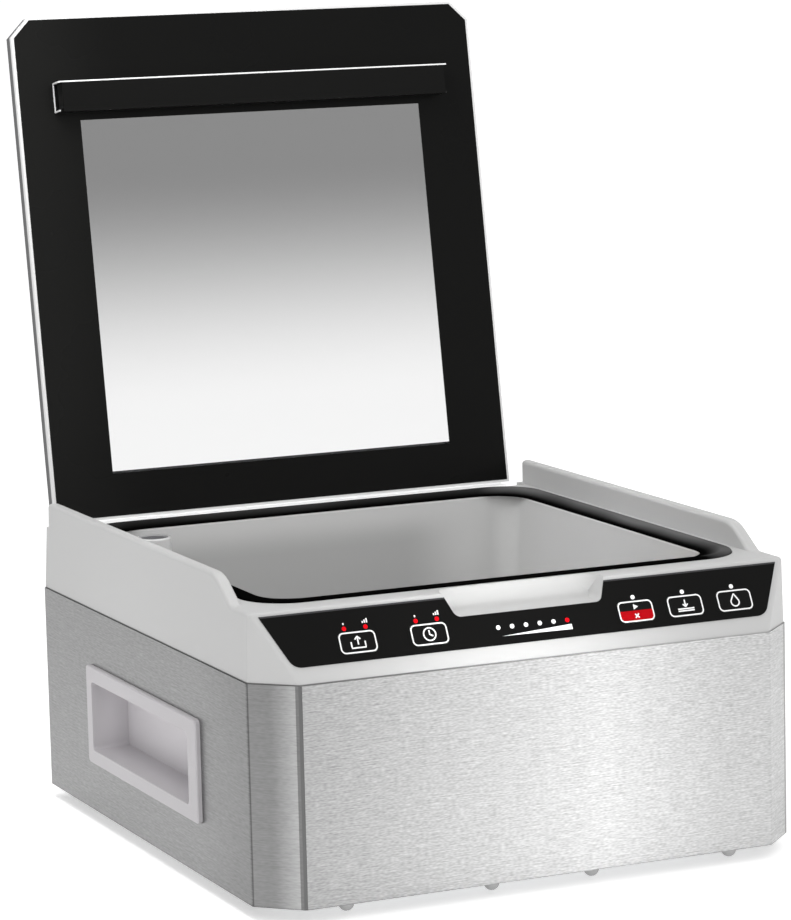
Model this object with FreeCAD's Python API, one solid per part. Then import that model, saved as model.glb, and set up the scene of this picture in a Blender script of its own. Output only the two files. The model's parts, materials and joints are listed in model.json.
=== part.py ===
import FreeCAD, Part
import math
import os

# Chamber vacuum sealer with its lid open. Millimetres, X to the right, Y to the rear, Z up from the floor.
# The pieces are drawn about the middle of the footprint and moved to the frame's origin when written.

V = FreeCAD.Vector

# Housing
BODY_WIDTH = 340.0
BODY_DEPTH = 360.0
CORNER_CUT_X = 23.0
CORNER_CUT_Y = 22.0
FOOT_HEIGHT = 8.0
STEEL_HEIGHT = 126.0
STEEL_GAUGE = 1.2
BEND_RADIUS = 4.0
FLANGE_WIDTH = 14.0
BASE_GAUGE = 1.5
SHEET_GAP = 0.5
SLIP_GAP = 0.3
RUNNING_FIT = 0.05
END_GAP = 0.2

# Deck, heights above the bottom edge of the steel
RIM_HEIGHT = 165.0
RIM_ROUND = 2.4
DECK_STEP = 0.8
DECK_TAPER = 1.2
DECK_REAR_LEAN = 5.5
DECK_WALL = 3.0
DECK_PLATE = 2.5
DECK_LIP = 7.0
WING_HEIGHT = 180.0
WING_INNER_X = 160.5
WING_SHOULDER_Y = -109.3
WING_SHOULDER_ROUND = 28.0
WING_FOOT_Y = -132.4
WING_FOOT_ROUND = 10.0
WING_APRON = 6.0
WING_ROOT = 6.0
WING_REAR_GAP = 0.4
WING_REAR_ROUND = 5.0
POCKET_FRONT_Y = 164.0
POCKET_HALF_WIDTH = 159.0
POCKET_FLOOR_HEIGHT = 153.0
POCKET_SIDE_WALL = 2.0

# Gasket and chamber tub
LID_SEAT_HEIGHT = 167.0
GASKET_HALF_WIDTH = 154.8
GASKET_FRONT_Y = -142.8
GASKET_REAR_Y = 160.0
GASKET_STRIP = 12.0
GASKET_CORNER = 28.0
GASKET_LAND = 4.6
GASKET_EDGE_ROUND = 1.0
GASKET_INNER_RISE = 1.4
GASKET_LID_GAP = 0.4
GASKET_DECK_GAP = 0.4
CHAMBER_DEPTH = 77.0
CHAMBER_WALL = 2.5
CHAMBER_DRAFT = 5.0
CHAMBER_CORNER = 14.5
CHAMBER_CORNER_DRAFT = 2.0
CHAMBER_FLOOR_ROUND = 2.4
CHAMBER_LIP_HEIGHT = 1.2
CHAMBER_LIP_WIDTH = 1.3
CHAMBER_LIP_GAP = 0.2
TUB_FLANGE_SIDE = 1.7
TUB_FLANGE_FRONT = 0.5
TUB_FLANGE_REAR = 0.9

# Sloping fascia: its upper and lower edges in Y and height above the steel's bottom edge
FASCIA_TOP_Y = -159.5
FASCIA_TOP_HEIGHT = 162.6
FASCIA_FOOT_Y = -174.1
FASCIA_FOOT_HEIGHT = 135.1
OVERLAY_TOP_HALF = 162.4
OVERLAY_FOOT_HALF = 147.8
OVERLAY_THICKNESS = 0.6
OVERLAY_CORNER = 8.0
OVERLAY_GAP = 0.4
RECESS_TOP_HALF = 49.8
RECESS_FOOT_HALF = 45.1
RECESS_DROP = 11.9
RECESS_REAR_Y = -145.5
RECESS_FLOOR_FALL = 2.0
RECESS_FLOOR_RISE = 1.0
RECESS_BACK_ROUND = 9.0
RECESS_CORNER = 5.0
RECESS_END_ROUND = 12.0
RECESS_WALL = 1.3

# Keys and indicator dots, placed by X and by the distance down the slope
KEY_WIDTH = 22.2
KEY_HEIGHT = 12.4
KEY_CORNER = 3.0
KEY_DOWN = 20.4
KEY_TRAVEL = 0.6
KEY_GAP = 0.35
KEY_SINK = 0.2
KEY_PROUD = 0.3
KEY_WELL = 1.2
STEM_WIDTH = 8.0
STEM_HEIGHT = 5.6
STEM_CORNER = 1.0
STEM_REACH = 6.0
STEM_GAP = 0.5
KEYS_X = {
    "vacuum_level_button": -107.5,
    "seal_time_button": -64.0,
    "start_cancel_button": 65.7,
    "seal_now_button": 97.6,
    "marinate_button": 129.8,
}
DOT_RADIUS = 1.3
DOT_GAP = 0.1
DOT_PROUD = 0.15
DOT_DOWN = 11.9
LEVEL_DOT_SPREAD = 6.5
PROGRESS_DOWN = 21.0
PROGRESS_PITCH = 8.66
PROGRESS_COUNT = 6
PANEL_BOARD_HALF = 150.0
PANEL_BOARD_DOWN = (9.0, 29.0)
PANEL_BOARD_DEPTH = 11.0
BOARD_GAUGE = 1.6
BOARD_CORNER = 1.0
TACT_SIZE = 6.0
TACT_HEIGHT = 3.6
TACT_CORNER = 0.5
TACT_PLUNGER_RADIUS = 1.7

# Lid, drawn shut and then swung open about the hinge
LID_TILT = 9.56
HINGE_Y = 178.3
HINGE_HEIGHT = 160.7
BORDER_HALF_WIDTH = 157.1
BORDER_REAR_Y = 172.0
BORDER_LENGTH = 316.6
BORDER_CORNER_CUT = 11.0
BORDER_THICKNESS = 0.6
LID_MARGIN = 1.6
LID_THICKNESS = 11.0
EDGE_BAND_HEIGHT = 5.6
EDGE_BAND_SINK = 0.2
EDGE_BAND_CORNER_CUT = 12.0
BACK_FRAME_WIDTH = 30.0
BACK_FRAME_ROUND = 1.2
WINDOW_HALF_WIDTH = 117.8
WINDOW_NEAR = 26.9
WINDOW_FAR = 251.9
BOND_GAP = 0.1
MAGNET_X = 149.0
MAGNET_Y = -120.0
MAGNET_RADIUS = 4.0
MAGNET_HEIGHT = 3.0
SENSOR_WIDTH = 10.0
SENSOR_LENGTH = 18.0
SENSOR_HEIGHT = 7.0
SENSOR_CORNER = 1.5

# Hinge; the arms' corners are given as Y and Z from the hinge axis
BARREL_RADIUS = 3.5
HINGE_PIN_RADIUS = 1.5
HINGE_HALF_LENGTH = 152.0
KNUCKLE_COUNT = 5
KNUCKLE_GAP = 0.4
LEAF_GAUGE = 2.2
LEAF_SETBACK = 1.0
LID_ARM_FOOT = ((-2.6, 1.5), (1.0, 3.0))
DECK_ARM_FOOT = (-6.0, -2.0)
DECK_ARM_TOP = ((1.5, -2.0), (-2.5, -1.0))

# Press bar on the lid
BAR_NEAR = 257.0
BAR_FAR = 276.0
BAR_PROUD = 12.5
BAR_HALF_LENGTH = 134.5
BAR_GAUGE = 1.1
BAR_REAR_SHORT = 2.5
PAD_INSET = 2.0
PAD_FOLD_REACH = 0.4
PAD_FOLD_HEIGHT = 2.3
PRESS_SCREWS_X = (-105.0, 0.0, 105.0)

# Seal bar in the chamber and its air cylinders
SEAL_LIFT = 8.0
SEAL_GAP = 0.3
SEAL_BAR_HALF_LENGTH = 132.5
SEAL_BAR_HEIGHT = 23.0
SEAL_BAR_WIDTH = 18.0
HEATER_GAUGE = 0.4
HEATER_WIDTH = 4.0
HEATER_INSET = 2.0
TAPE_GAUGE = 0.4
TAPE_GAP = 0.1
TAPE_FOLD = 8.0
TAPE_INSET = 1.0
ROD_X = 95.0
ROD_RADIUS = 5.0
PISTON_RADIUS = 13.0
PISTON_HEIGHT = 7.0
PISTON_CLEAR = 1.0
CYLINDER_LENGTH = 46.0
CYLINDER_WALL = 3.0
CYLINDER_FOOT = 5.0
CYLINDER_HEAD = 6.0

# Handle cups, by Y and height above the steel's bottom edge
CUP_FRAME_Y = (-85.0, 98.5)
CUP_FRAME_HEIGHTS = (31.0, 91.8)
CUP_FRAME_CORNER = 3.0
CUP_FRAME_ROUND = 1.2
CUP_OPENING_Y = (-72.0, 89.0)
CUP_OPENING_HEIGHTS = (39.7, 82.5)
CUP_OPENING_CORNER = 2.5
CUP_PROUD = 3.0
CUP_DEPTH = 19.5
CUP_DRAFT = 1.5
CUP_WALL = 2.5
CUP_GAP = 0.2

# Suction post in the chamber
POST_X = -115.5
POST_Y = 126.5
POST_TOP_HEIGHT = 161.0
POST_TOP_RADIUS = 11.0
POST_FOOT_RADIUS = 12.5
POST_RIM = 2.0
POST_ROUND = 1.0
FILTER_SEAT = 5.0
FILTER_SINK = 1.0
FILTER_DISH_DEPTH = 2.5
FILTER_DISH_RADIUS = 20.0

# Rear panel fittings, by X and height above the steel's bottom edge
INLET_X = 105.0
INLET_HALF_WIDTH = 15.0
INLET_FLANGE = 8.0
SOCKET_WIDTH = 24.0
SOCKET_HEIGHT = 17.0
SOCKET_DEPTH = 16.0
SOCKET_CORNERS = (4.0, 4.0, 2.0, 2.0)
PIN_STEP = 7.0
PIN_LOW = 1.0
PIN_HIGH = 3.0
PIN_HALF_WIDTH = 1.0
PIN_HALF_HEIGHT = 2.0
PIN_BACK_Y = 144.0
PIN_TIP_DEPTH = 4.0
SWITCH_X = 60.0
SWITCH_HALF_WIDTH = 9.0
SWITCH_FLANGE = 2.0
FITTING_HEIGHT = 32.0
FITTING_HALF_HEIGHT = 12.0
FITTING_FRONT_Y = 150.0
FITTING_FLANGE = 3.0
FITTING_PLATE = 2.0
FITTING_CORNER = 2.0
ROCKER_TILT = 8.0
ROCKER_RADIUS = 9.6
ROCKER_HALF_WIDTH = 6.6
ROCKER_VALLEY = 4.0
ROCKER_BACK = 5.0
ROCKER_PIVOT_DEPTH = 3.0
ROCKER_WELL_HALF_WIDTH = 7.0
ROCKER_WELL_HALF_HEIGHT = 10.2
ROCKER_WELL_DEPTH = 16.0
PIVOT_RADIUS = 1.5
PIVOT_HALF_LENGTH = 8.0
VENT_COUNT = 12
VENT_PITCH = 10.0
VENT_FIRST_X = -130.0
VENT_ROW_HEIGHTS = (37.0, 87.0)
VENT_SLOT_WIDTH = 4.0
VENT_SLOT_HEIGHT = 30.0
VENT_SLOT_CORNER = 1.9

# Screws and feet
SCREW_HEAD_RADIUS = 4.5
SCREW_SHANK_RADIUS = 2.0
SCREW_REACH = 5.0
SCREW_HEAD_HEIGHT = 2.0
CROSS_DEPTH = 1.8
CROSS_HALF_LENGTH = 2.5
CROSS_HALF_WIDTH = 0.55
BUTTON_FOOT_RADIUS = 3.9
BUTTON_TOP_RADIUS = 2.9
BUTTON_HEIGHT = 1.8
BASE_SCREWS_X = (-121.0, -31.6, 31.6, 121.0)
BASE_SCREW_FRONT_Y = -175.2
BASE_SCREW_REAR_Y = 172.0
REAR_SCREW_X = 162.0
REAR_SCREW_HEIGHTS = (22.0, 64.0, 106.0)
FOOT_X = 128.0
FOOT_Y = 134.0
FOOT_RADIUS = 13.0
FOOT_TAPER = 2.0
FOOT_WELL_DEPTH = 3.0

# Pump
PUMP_Y = 25.0
PUMP_AXIS_HEIGHT = 35.0
MOTOR_RADIUS = 30.0
MOTOR_HALF_LENGTH = 52.0
MOTOR_WALL = 6.0
CRANKCASE_LENGTH = 36.0
CRANKCASE_SIZE = 54.0
CRANKCASE_WALL = 5.0
CRANKCASE_CORNER = 8.0
HEAD_WIDTH = 30.0
HEAD_DEPTH = 42.0
HEAD_CORNER = 4.0
HEAD_TOP_GAP = 2.0
FIN_COUNT = 5
FIN_PITCH = 9.0
FIN_GAUGE = 2.0
FIN_REACH = 1.0
FIN_HEIGHTS = (2.0, 12.0)
BRACKET_HALF_DEPTH = 36.0
BRACKET_GAUGE = 2.0
BRACKET_INSET = 4.0
CRADLE_HALF_DEPTH = 16.0
CRADLE_DROP = 20.0
SHAFT_RADIUS = 4.0
SHAFT_TAIL = 14.0
SHAFT_STOP = 2.0
ROTOR_GAP = 0.6
ROTOR_INSET = 12.0
WEIGHT_RADIUS = 12.0
WEIGHT_OFFSET = 4.0
WEIGHT_HALF_LENGTH = 5.0
FAN_RADIUS = 25.0
FAN_BLADES = 7
FAN_SETBACK = 12.0
FAN_HUB_RADIUS = 8.0
FAN_HUB_LENGTH = 9.0
BLADE_HALF_WIDTH = 5.0
BLADE_ROOT = 6.0
BLADE_MIDDLE = 4.2
BLADE_GAUGE = 1.6
BLADE_TWIST = 28.0

# Transformer and power board
CORE_X = (-140.0, -74.0)
CORE_Y = (90.0, 136.0)
CORE_HEIGHT = 55.0
CORE_LEG = 11.0
COIL_MARGIN = 0.5
COIL_OVERHANG = 10.0
COIL_CORNER = 6.0
BOARD_X = (35.0, 135.0)
BOARD_Y = (60.0, 140.0)
POWER_BOARD_CORNER = 2.0
STANDOFF_HEIGHT = 8.0
STANDOFF_RADIUS = 3.5
STANDOFF_INSET = 7.0
CAPACITOR_X = 60.0
CAPACITORS_Y = (85.0, 106.0)
CAPACITOR_RADIUS = 8.0
CAPACITOR_HEIGHT = 25.0
RELAY_X = (76.0, 94.0)
RELAYS_Y = (72.0, 92.0, 112.0)
RELAY_DEPTH = 15.0
RELAY_HEIGHT = 16.0
SINK_X = (104.0, 124.0)
SINK_Y = (80.0, 122.0)
SINK_FOOT = 4.0
SINK_HEIGHT = 28.0
SINK_FINS = 5
TERMINAL_X = (50.0, 72.0)
TERMINAL_Y = (118.0, 130.0)
TERMINAL_HEIGHT = 12.0

# Valves and hoses
VALVE_SIZE = 26.0
VALVE_CORNER = 3.0
VALVE_CAP = 8.0
VALVE_COIL_HEIGHT = 26.0
VALVE_COIL_RADIUS = 11.0
VENT_VALVE_X = -122.0
VENT_NOZZLE_X = -60.0
VENT_NOZZLE_Y = -45.0
VENT_HOSE_HEIGHT = 36.0
SEAL_VALVE_Y = -55.0
SEAL_HOSE_DROP = 25.0
SUCTION_RISE = 33.0
SPIGOT_RADIUS = 4.0
SPIGOT_BORE = 2.5
SPIGOT_LENGTH = 6.0
BARB_LENGTH = 12.0
HOSE_RADIUS = 6.0
HOSE_BEND = 11.0

# How far cutting shapes reach past what they cut, and past everything
CUT_MARGIN = 20.0
FAR = 400.0
TOUCH = 0.01
SAME_POINT = 1e-6

# Levels above the floor
SILL_Z = FOOT_HEIGHT
STEEL_TOP_Z = SILL_Z + STEEL_HEIGHT
RIM_Z = SILL_Z + RIM_HEIGHT
WING_TOP_Z = SILL_Z + WING_HEIGHT
LID_SEAT_Z = SILL_Z + LID_SEAT_HEIGHT
PLATE_UNDER_Z = RIM_Z - DECK_PLATE
POCKET_FLOOR_Z = SILL_Z + POCKET_FLOOR_HEIGHT
FLANGE_TOP_Z = PLATE_UNDER_Z
CHAMBER_FLOOR_Z = RIM_Z - CHAMBER_DEPTH
CHAMBER_UNDER_Z = CHAMBER_FLOOR_Z - CHAMBER_WALL
GASKET_TOP_Z = LID_SEAT_Z - GASKET_LID_GAP
HINGE_Z = SILL_Z + HINGE_HEIGHT
POST_TOP_Z = SILL_Z + POST_TOP_HEIGHT
BASE_TOP_Z = SILL_Z + STEEL_GAUGE + BASE_GAUGE
BOARD_TOP_Z = BASE_TOP_Z + STANDOFF_HEIGHT + BOARD_GAUGE
REAR_FACE_Y = BODY_DEPTH / 2
PANEL_FRONT_Y = REAR_FACE_Y - STEEL_GAUGE
PUMP_Z = SILL_Z + PUMP_AXIS_HEIGHT
FITTING_Z = SILL_Z + FITTING_HEIGHT
SEAL_HOSE_Z = CHAMBER_UNDER_Z - SEAL_HOSE_DROP
VENT_HOSE_Z = SILL_Z + VENT_HOSE_HEIGHT
SUCTION_X = -(MOTOR_HALF_LENGTH + CRANKCASE_LENGTH / 2)
SUCTION_Z = PUMP_Z + SUCTION_RISE
CYLINDER_LOW_Z = CHAMBER_UNDER_Z - CYLINDER_LENGTH
PISTON_Z = CYLINDER_LOW_Z + CYLINDER_FOOT + PISTON_CLEAR

# Lid distances from the hinge end, turned into Y with the lid shut
LID_REAR_Y = BORDER_REAR_Y + LID_MARGIN
BORDER_FRONT_Y = BORDER_REAR_Y - BORDER_LENGTH
LID_FRONT_Y = BORDER_FRONT_Y - LID_MARGIN
LID_TOP_Z = LID_SEAT_Z + LID_THICKNESS
LID_SWING = 90.0 + LID_TILT
BAND_TOP_Z = LID_SEAT_Z + EDGE_BAND_HEIGHT
BAR_FRONT_Y = BORDER_REAR_Y - BAR_FAR
BAR_BACK_Y = BORDER_REAR_Y - BAR_NEAR
BAR_FACE_Z = LID_SEAT_Z - BAR_PROUD
BAR_MIDDLE_Y = (BAR_FRONT_Y + BAR_BACK_Y) / 2
BAR_WEB_Z = LID_SEAT_Z - BAR_GAUGE
SEAL_TOP_Z = BAR_FACE_Z - SEAL_GAP - SEAL_LIFT
SEAL_BASE_TOP_Z = SEAL_TOP_Z - TAPE_GAUGE - HEATER_GAUGE

# Slope of the fascia
SLOPE_LENGTH = math.hypot(FASCIA_FOOT_Y - FASCIA_TOP_Y, FASCIA_FOOT_HEIGHT - FASCIA_TOP_HEIGHT)
SLOPE_DOWN_Y = (FASCIA_FOOT_Y - FASCIA_TOP_Y) / SLOPE_LENGTH
SLOPE_DOWN_Z = (FASCIA_FOOT_HEIGHT - FASCIA_TOP_HEIGHT) / SLOPE_LENGTH
SLOPE_OUT = V(0, SLOPE_DOWN_Z, -SLOPE_DOWN_Y)

# Where the frame's origin lies in the footprint: under the middle of the box round the open lid
LID_OPEN_RAD = math.radians(-LID_SWING)
LID_TIP_ARM_Y = LID_FRONT_Y - HINGE_Y
LID_TIP_ARM_Z = LID_TOP_Z - HINGE_Z
OPEN_REACH_Y = HINGE_Y + LID_TIP_ARM_Y * math.cos(LID_OPEN_RAD) - LID_TIP_ARM_Z * math.sin(LID_OPEN_RAD)
ORIGIN_Y = (OPEN_REACH_Y - BODY_DEPTH / 2) / 2


# Helpers

def box(x_range, y_range, z_range):
    """Box between the two values of each range."""
    corner = V(x_range[0], y_range[0], z_range[0])
    sizes = (x_range[1] - x_range[0], y_range[1] - y_range[0], z_range[1] - z_range[0])
    return Part.makeBox(*sizes, corner)


def plan(z):
    """Placing of an outline's (x, y) at height z."""
    return lambda a, b: V(a, b, z)


def side(x):
    """Placing of an outline's (y, z) at the given x."""
    return lambda a, b: V(x, a, b)


def upright_at(y):
    """Placing of an outline's (x, z) at the given y."""
    return lambda a, b: V(a, y, b)


def fascia(out):
    """Placing of an outline's (x, distance down the slope), a distance out of the fascia."""
    return lambda a, b: V(a, FASCIA_TOP_Y + b * SLOPE_DOWN_Y + out * SLOPE_OUT.y,
                          SILL_Z + FASCIA_TOP_HEIGHT + b * SLOPE_DOWN_Z + out * SLOPE_OUT.z)


def outline(points, radii, place):
    """Closed wire through flat points, each corner rounded by its radius."""
    if not isinstance(radii, (list, tuple)):
        radii = [radii] * len(points)
    count = len(points)
    bends = []
    for index in range(count):
        here = V(*points[index], 0)
        back = (V(*points[index - 1], 0) - here).normalize()
        ahead = (V(*points[(index + 1) % count], 0) - here).normalize()
        half = back.getAngle(ahead) / 2
        radius = radii[index]
        reach = radius / math.tan(half)
        middle = (back + ahead).normalize()
        crown = here + middle * (radius / math.sin(half) - radius)
        bends.append((here + back * reach, crown, here + ahead * reach, radius))
    edges = []
    for index, (start, crown, end, radius) in enumerate(bends):
        before = bends[index - 1][2]
        if before.distanceToPoint(start) > SAME_POINT:
            edges.append(Part.LineSegment(place(before.x, before.y), place(start.x, start.y)).toShape())
        if radius > 0:
            arc = Part.Arc(place(start.x, start.y), place(crown.x, crown.y), place(end.x, end.y))
            edges.append(arc.toShape())
    return Part.Wire(edges)


def prism(points, radii, place, along):
    """Outline filled and carried along a vector."""
    return Part.Face(outline(points, radii, place)).extrude(along)


def upright(points, radii, z_low, z_high):
    """Plan outline carried from one height to another."""
    return prism(points, radii, plan(z_low), V(0, 0, z_high - z_low))


def across(points, radii, x_low, x_high):
    """Side outline carried from one x to another."""
    return prism(points, radii, side(x_low), V(x_high - x_low, 0, 0))


def on_fascia(points, radii, out_low, out_high):
    """Outline on the slope carried outwards between two distances from its surface."""
    return prism(points, radii, fascia(out_low), SLOPE_OUT * (out_high - out_low))


def frustum(low, high):
    """Solid with flat sides between two outlines whose matching sides are parallel."""
    count = len(low)

    def face(points):
        return Part.Face(Part.makePolygon(points + points[:1]))

    walls = [face([low[i], low[(i + 1) % count], high[(i + 1) % count], high[i]]) for i in range(count)]
    return Part.Solid(Part.Shell([face(low[::-1]), face(high)] + walls))


def rectangle(a_range, b_range):
    """Corner points of a rectangle, anticlockwise."""
    (a_low, a_high), (b_low, b_high) = a_range, b_range
    return [(a_low, b_low), (a_high, b_low), (a_high, b_high), (a_low, b_high)]


def centred(a_middle, b_middle, a_size, b_size):
    """Corner points of a rectangle about its middle."""
    a_half = a_size / 2
    b_half = b_size / 2
    return rectangle((a_middle - a_half, a_middle + a_half), (b_middle - b_half, b_middle + b_half))


def round_bar(x, y, z_range, radius):
    """Upright cylinder."""
    return Part.makeCylinder(radius, z_range[1] - z_range[0], V(x, y, z_range[0]))


def bar_along_x(x_range, y, z, radius):
    """Cylinder along X."""
    return Part.makeCylinder(radius, x_range[1] - x_range[0], V(x_range[0], y, z), V(1, 0, 0))


def bar_along_y(x, y_range, z, radius):
    """Cylinder along Y."""
    return Part.makeCylinder(radius, y_range[1] - y_range[0], V(x, y_range[0], z), V(0, 1, 0))


def joined(shapes):
    """One solid from shapes that touch."""
    return shapes[0].multiFuse(shapes[1:]).removeSplitter()


def mirrored(shape):
    """The same shape on the other side of the middle plane."""
    return shape.mirror(V(0, 0, 0), V(1, 0, 0))


def inset(points, distances):
    """Convex anticlockwise outline with each side moved inwards by its own distance."""
    count = len(points)
    lines = []
    for index in range(count):
        start = V(*points[index], 0)
        along = (V(*points[(index + 1) % count], 0) - start).normalize()
        inward = V(-along.y, along.x, 0)
        lines.append((start + inward * distances[index], along))
    corners = []
    for index in range(count):
        (p, u), (q, w) = lines[index - 1], lines[index]
        step = ((q.x - p.x) * w.y - (q.y - p.y) * w.x) / (u.x * w.y - u.y * w.x)
        corners.append((p.x + u.x * step, p.y + u.y * step))
    return corners


def footprint(distance=0.0, rear=None):
    """Body outline with slanted front corners, moved inwards; the rear side may have its own distance."""
    half = BODY_WIDTH / 2
    deep = BODY_DEPTH / 2
    points = [(CORNER_CUT_X - half, -deep), (half - CORNER_CUT_X, -deep), (half, CORNER_CUT_Y - deep),
              (half, deep), (-half, deep), (-half, CORNER_CUT_Y - deep)]
    rear = distance if rear is None else rear
    return inset(points, [distance, distance, distance, rear, distance, distance])


def footprint_bends(radius):
    """Radii of the footprint's corners: rounded at the front bends, sharp at the rear."""
    return [radius, radius, radius, 0, 0, radius]


def screw_up(x, y, head_z, tip_z):
    """Domed screw put in from below, with a cross recess in its head."""
    dome = Part.makeSphere(SCREW_HEAD_RADIUS, V(x, y, head_z))
    head = dome.cut(box((-FAR, FAR), (-FAR, FAR), (head_z, head_z + FAR)))
    shank = round_bar(x, y, (head_z, tip_z), SCREW_SHANK_RADIUS)
    slot_z = (head_z - SCREW_HEAD_RADIUS, head_z - SCREW_HEAD_RADIUS + CROSS_DEPTH)
    slot = upright(centred(x, y, 2 * CROSS_HALF_LENGTH, 2 * CROSS_HALF_WIDTH), 0, *slot_z)
    cross = upright(centred(x, y, 2 * CROSS_HALF_WIDTH, 2 * CROSS_HALF_LENGTH), 0, *slot_z)
    return joined([head, shank]).cut(slot).cut(cross)


def hose(points, outer, bore):
    """Round hose along straight runs joined by arcs; prints its volume against section times length."""
    path = []
    run_start = V(*points[0])
    for index in range(1, len(points) - 1):
        here = V(*points[index])
        back = (V(*points[index - 1]) - here).normalize()
        ahead = (V(*points[index + 1]) - here).normalize()
        half = back.getAngle(ahead) / 2
        reach = HOSE_BEND / math.tan(half)
        crown = here + (back + ahead).normalize() * (HOSE_BEND / math.sin(half) - HOSE_BEND)
        path.append(Part.LineSegment(run_start, here + back * reach).toShape())
        path.append(Part.Arc(here + back * reach, crown, here + ahead * reach).toShape())
        run_start = here + ahead * reach
    path.append(Part.LineSegment(run_start, V(*points[-1])).toShape())
    wire = Part.Wire(path)
    start = V(*points[0])
    heading = V(*points[1]) - start

    def swept(radius):
        ring = Part.Wire(Part.makeCircle(radius, start, heading))
        return wire.makePipeShell([ring], True, False)

    tube = swept(outer).cut(swept(bore))
    expected = math.pi * (outer ** 2 - bore ** 2) * wire.Length
    print("hose volume over section times length: %.4f" % (tube.Volume / expected))
    return tube


def opened(shape):
    """Lid piece drawn shut, swung to its open rest."""
    return shape.rotated(V(0, HINGE_Y, HINGE_Z), V(1, 0, 0), -LID_SWING)


# Steel housing

def base_screw_places():
    """Plan places of the screws in the bottom."""
    return [(x, y) for x in BASE_SCREWS_X for y in (BASE_SCREW_FRONT_Y, BASE_SCREW_REAR_Y)]


def foot_places():
    """Plan places of the four feet."""
    return [(x, y) for x in (-FOOT_X, FOOT_X) for y in (-FOOT_Y, FOOT_Y)]


def rear_screw_places():
    """Places of the rear panel's screws, as x and z."""
    return [(x, SILL_Z + height) for x in (-REAR_SCREW_X, REAR_SCREW_X) for height in REAR_SCREW_HEIGHTS]


def drilled_up(shape, places, z_range):
    """Shape with upright clearance holes for screws."""
    for x, y in places:
        shape = shape.cut(round_bar(x, y, z_range, SCREW_SHANK_RADIUS + RUNNING_FIT))
    return shape


def drilled_rear(shape):
    """Shape with the rear panel's screw holes."""
    for x, z in rear_screw_places():
        shape = shape.cut(bar_along_y(x, (0, FAR), z, SCREW_SHANK_RADIUS + RUNNING_FIT))
    return shape


def body_wrap():
    """Bent steel sheet round the front and both sides, with flanges at its foot and at the rear."""
    outer = upright(footprint(0, STEEL_GAUGE), footprint_bends(BEND_RADIUS), SILL_Z, STEEL_TOP_Z)
    inner = upright(footprint(STEEL_GAUGE, 2 * STEEL_GAUGE), footprint_bends(BEND_RADIUS - STEEL_GAUGE),
                    SILL_Z + STEEL_GAUGE, STEEL_TOP_Z + CUT_MARGIN)
    floor_gap = upright(footprint(FLANGE_WIDTH), 0, 0, SILL_Z + FLANGE_WIDTH)
    rear_half = BODY_WIDTH / 2 - FLANGE_WIDTH
    rear_gap = box((-rear_half, rear_half), (0, FAR), (SILL_Z + FLANGE_WIDTH, FAR))
    sheet = outer.cut(inner).cut(floor_gap).cut(rear_gap)
    sheet = drilled_rear(drilled_up(sheet, base_screw_places(), (0, SILL_Z + FLANGE_WIDTH)))
    cup_hole = cup_body(0)
    return sheet.cut(cup_hole).cut(mirrored(cup_hole))


def base_plate():
    """Flat sheet closing the bottom, resting on the wrap's flange."""
    gap = STEEL_GAUGE + SHEET_GAP
    plate = upright(footprint(gap, gap + STEEL_GAUGE), 0, SILL_Z + STEEL_GAUGE, BASE_TOP_Z)
    return drilled_up(plate, base_screw_places() + foot_places(), (0, FAR))


def rubber_feet():
    """Tapered rubber feet, each pushed into the base plate by a short peg."""
    top_z = SILL_Z + STEEL_GAUGE
    feet = []
    for x, y in foot_places():
        foot = Part.makeCone(FOOT_RADIUS - FOOT_TAPER, FOOT_RADIUS, top_z, V(x, y, 0))
        peg = round_bar(x, y, (FOOT_WELL_DEPTH, BASE_TOP_Z), SCREW_SHANK_RADIUS)
        well = round_bar(x, y, (0, FOOT_WELL_DEPTH), SCREW_HEAD_RADIUS)
        feet.append(joined([foot, peg]).cut(well))
    return Part.makeCompound(feet)


def base_screws():
    """Domed screws along the front and rear edges of the bottom."""
    tip_z = BASE_TOP_Z + SCREW_REACH
    return Part.makeCompound([screw_up(x, y, SILL_Z, tip_z) for x, y in base_screw_places()])


def rear_panel():
    """Steel rear sheet with cooling slots and the openings for the inlet and the switch."""
    half = BODY_WIDTH / 2 - SHEET_GAP
    panel = box((-half, half), (PANEL_FRONT_Y, REAR_FACE_Y), (SILL_Z, STEEL_TOP_Z))
    for height in VENT_ROW_HEIGHTS:
        for index in range(VENT_COUNT):
            x = VENT_FIRST_X + index * VENT_PITCH
            slot = centred(x, SILL_Z + height, VENT_SLOT_WIDTH, VENT_SLOT_HEIGHT)
            panel = panel.cut(prism(slot, VENT_SLOT_CORNER, upright_at(0), V(0, FAR, 0)))
    half_height = FITTING_HALF_HEIGHT + SLIP_GAP
    for x, fitting_half in ((INLET_X, INLET_HALF_WIDTH), (SWITCH_X, SWITCH_HALF_WIDTH)):
        half_width = fitting_half + SLIP_GAP
        hole = centred(x, FITTING_Z, 2 * half_width, 2 * half_height)
        panel = panel.cut(prism(hole, 0, upright_at(0), V(0, FAR, 0)))
    return drilled_rear(panel)


def rear_screws():
    """Button screws along both sides of the rear panel."""
    screws = []
    for x, z in rear_screw_places():
        foot = V(x, REAR_FACE_Y, z)
        head = Part.makeCone(BUTTON_FOOT_RADIUS, BUTTON_TOP_RADIUS, BUTTON_HEIGHT, foot, V(0, 1, 0))
        shank = bar_along_y(x, (PANEL_FRONT_Y - SCREW_REACH, REAR_FACE_Y), z, SCREW_SHANK_RADIUS)
        screws.append(joined([head, shank]))
    return Part.makeCompound(screws)


# Handle cups

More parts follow.
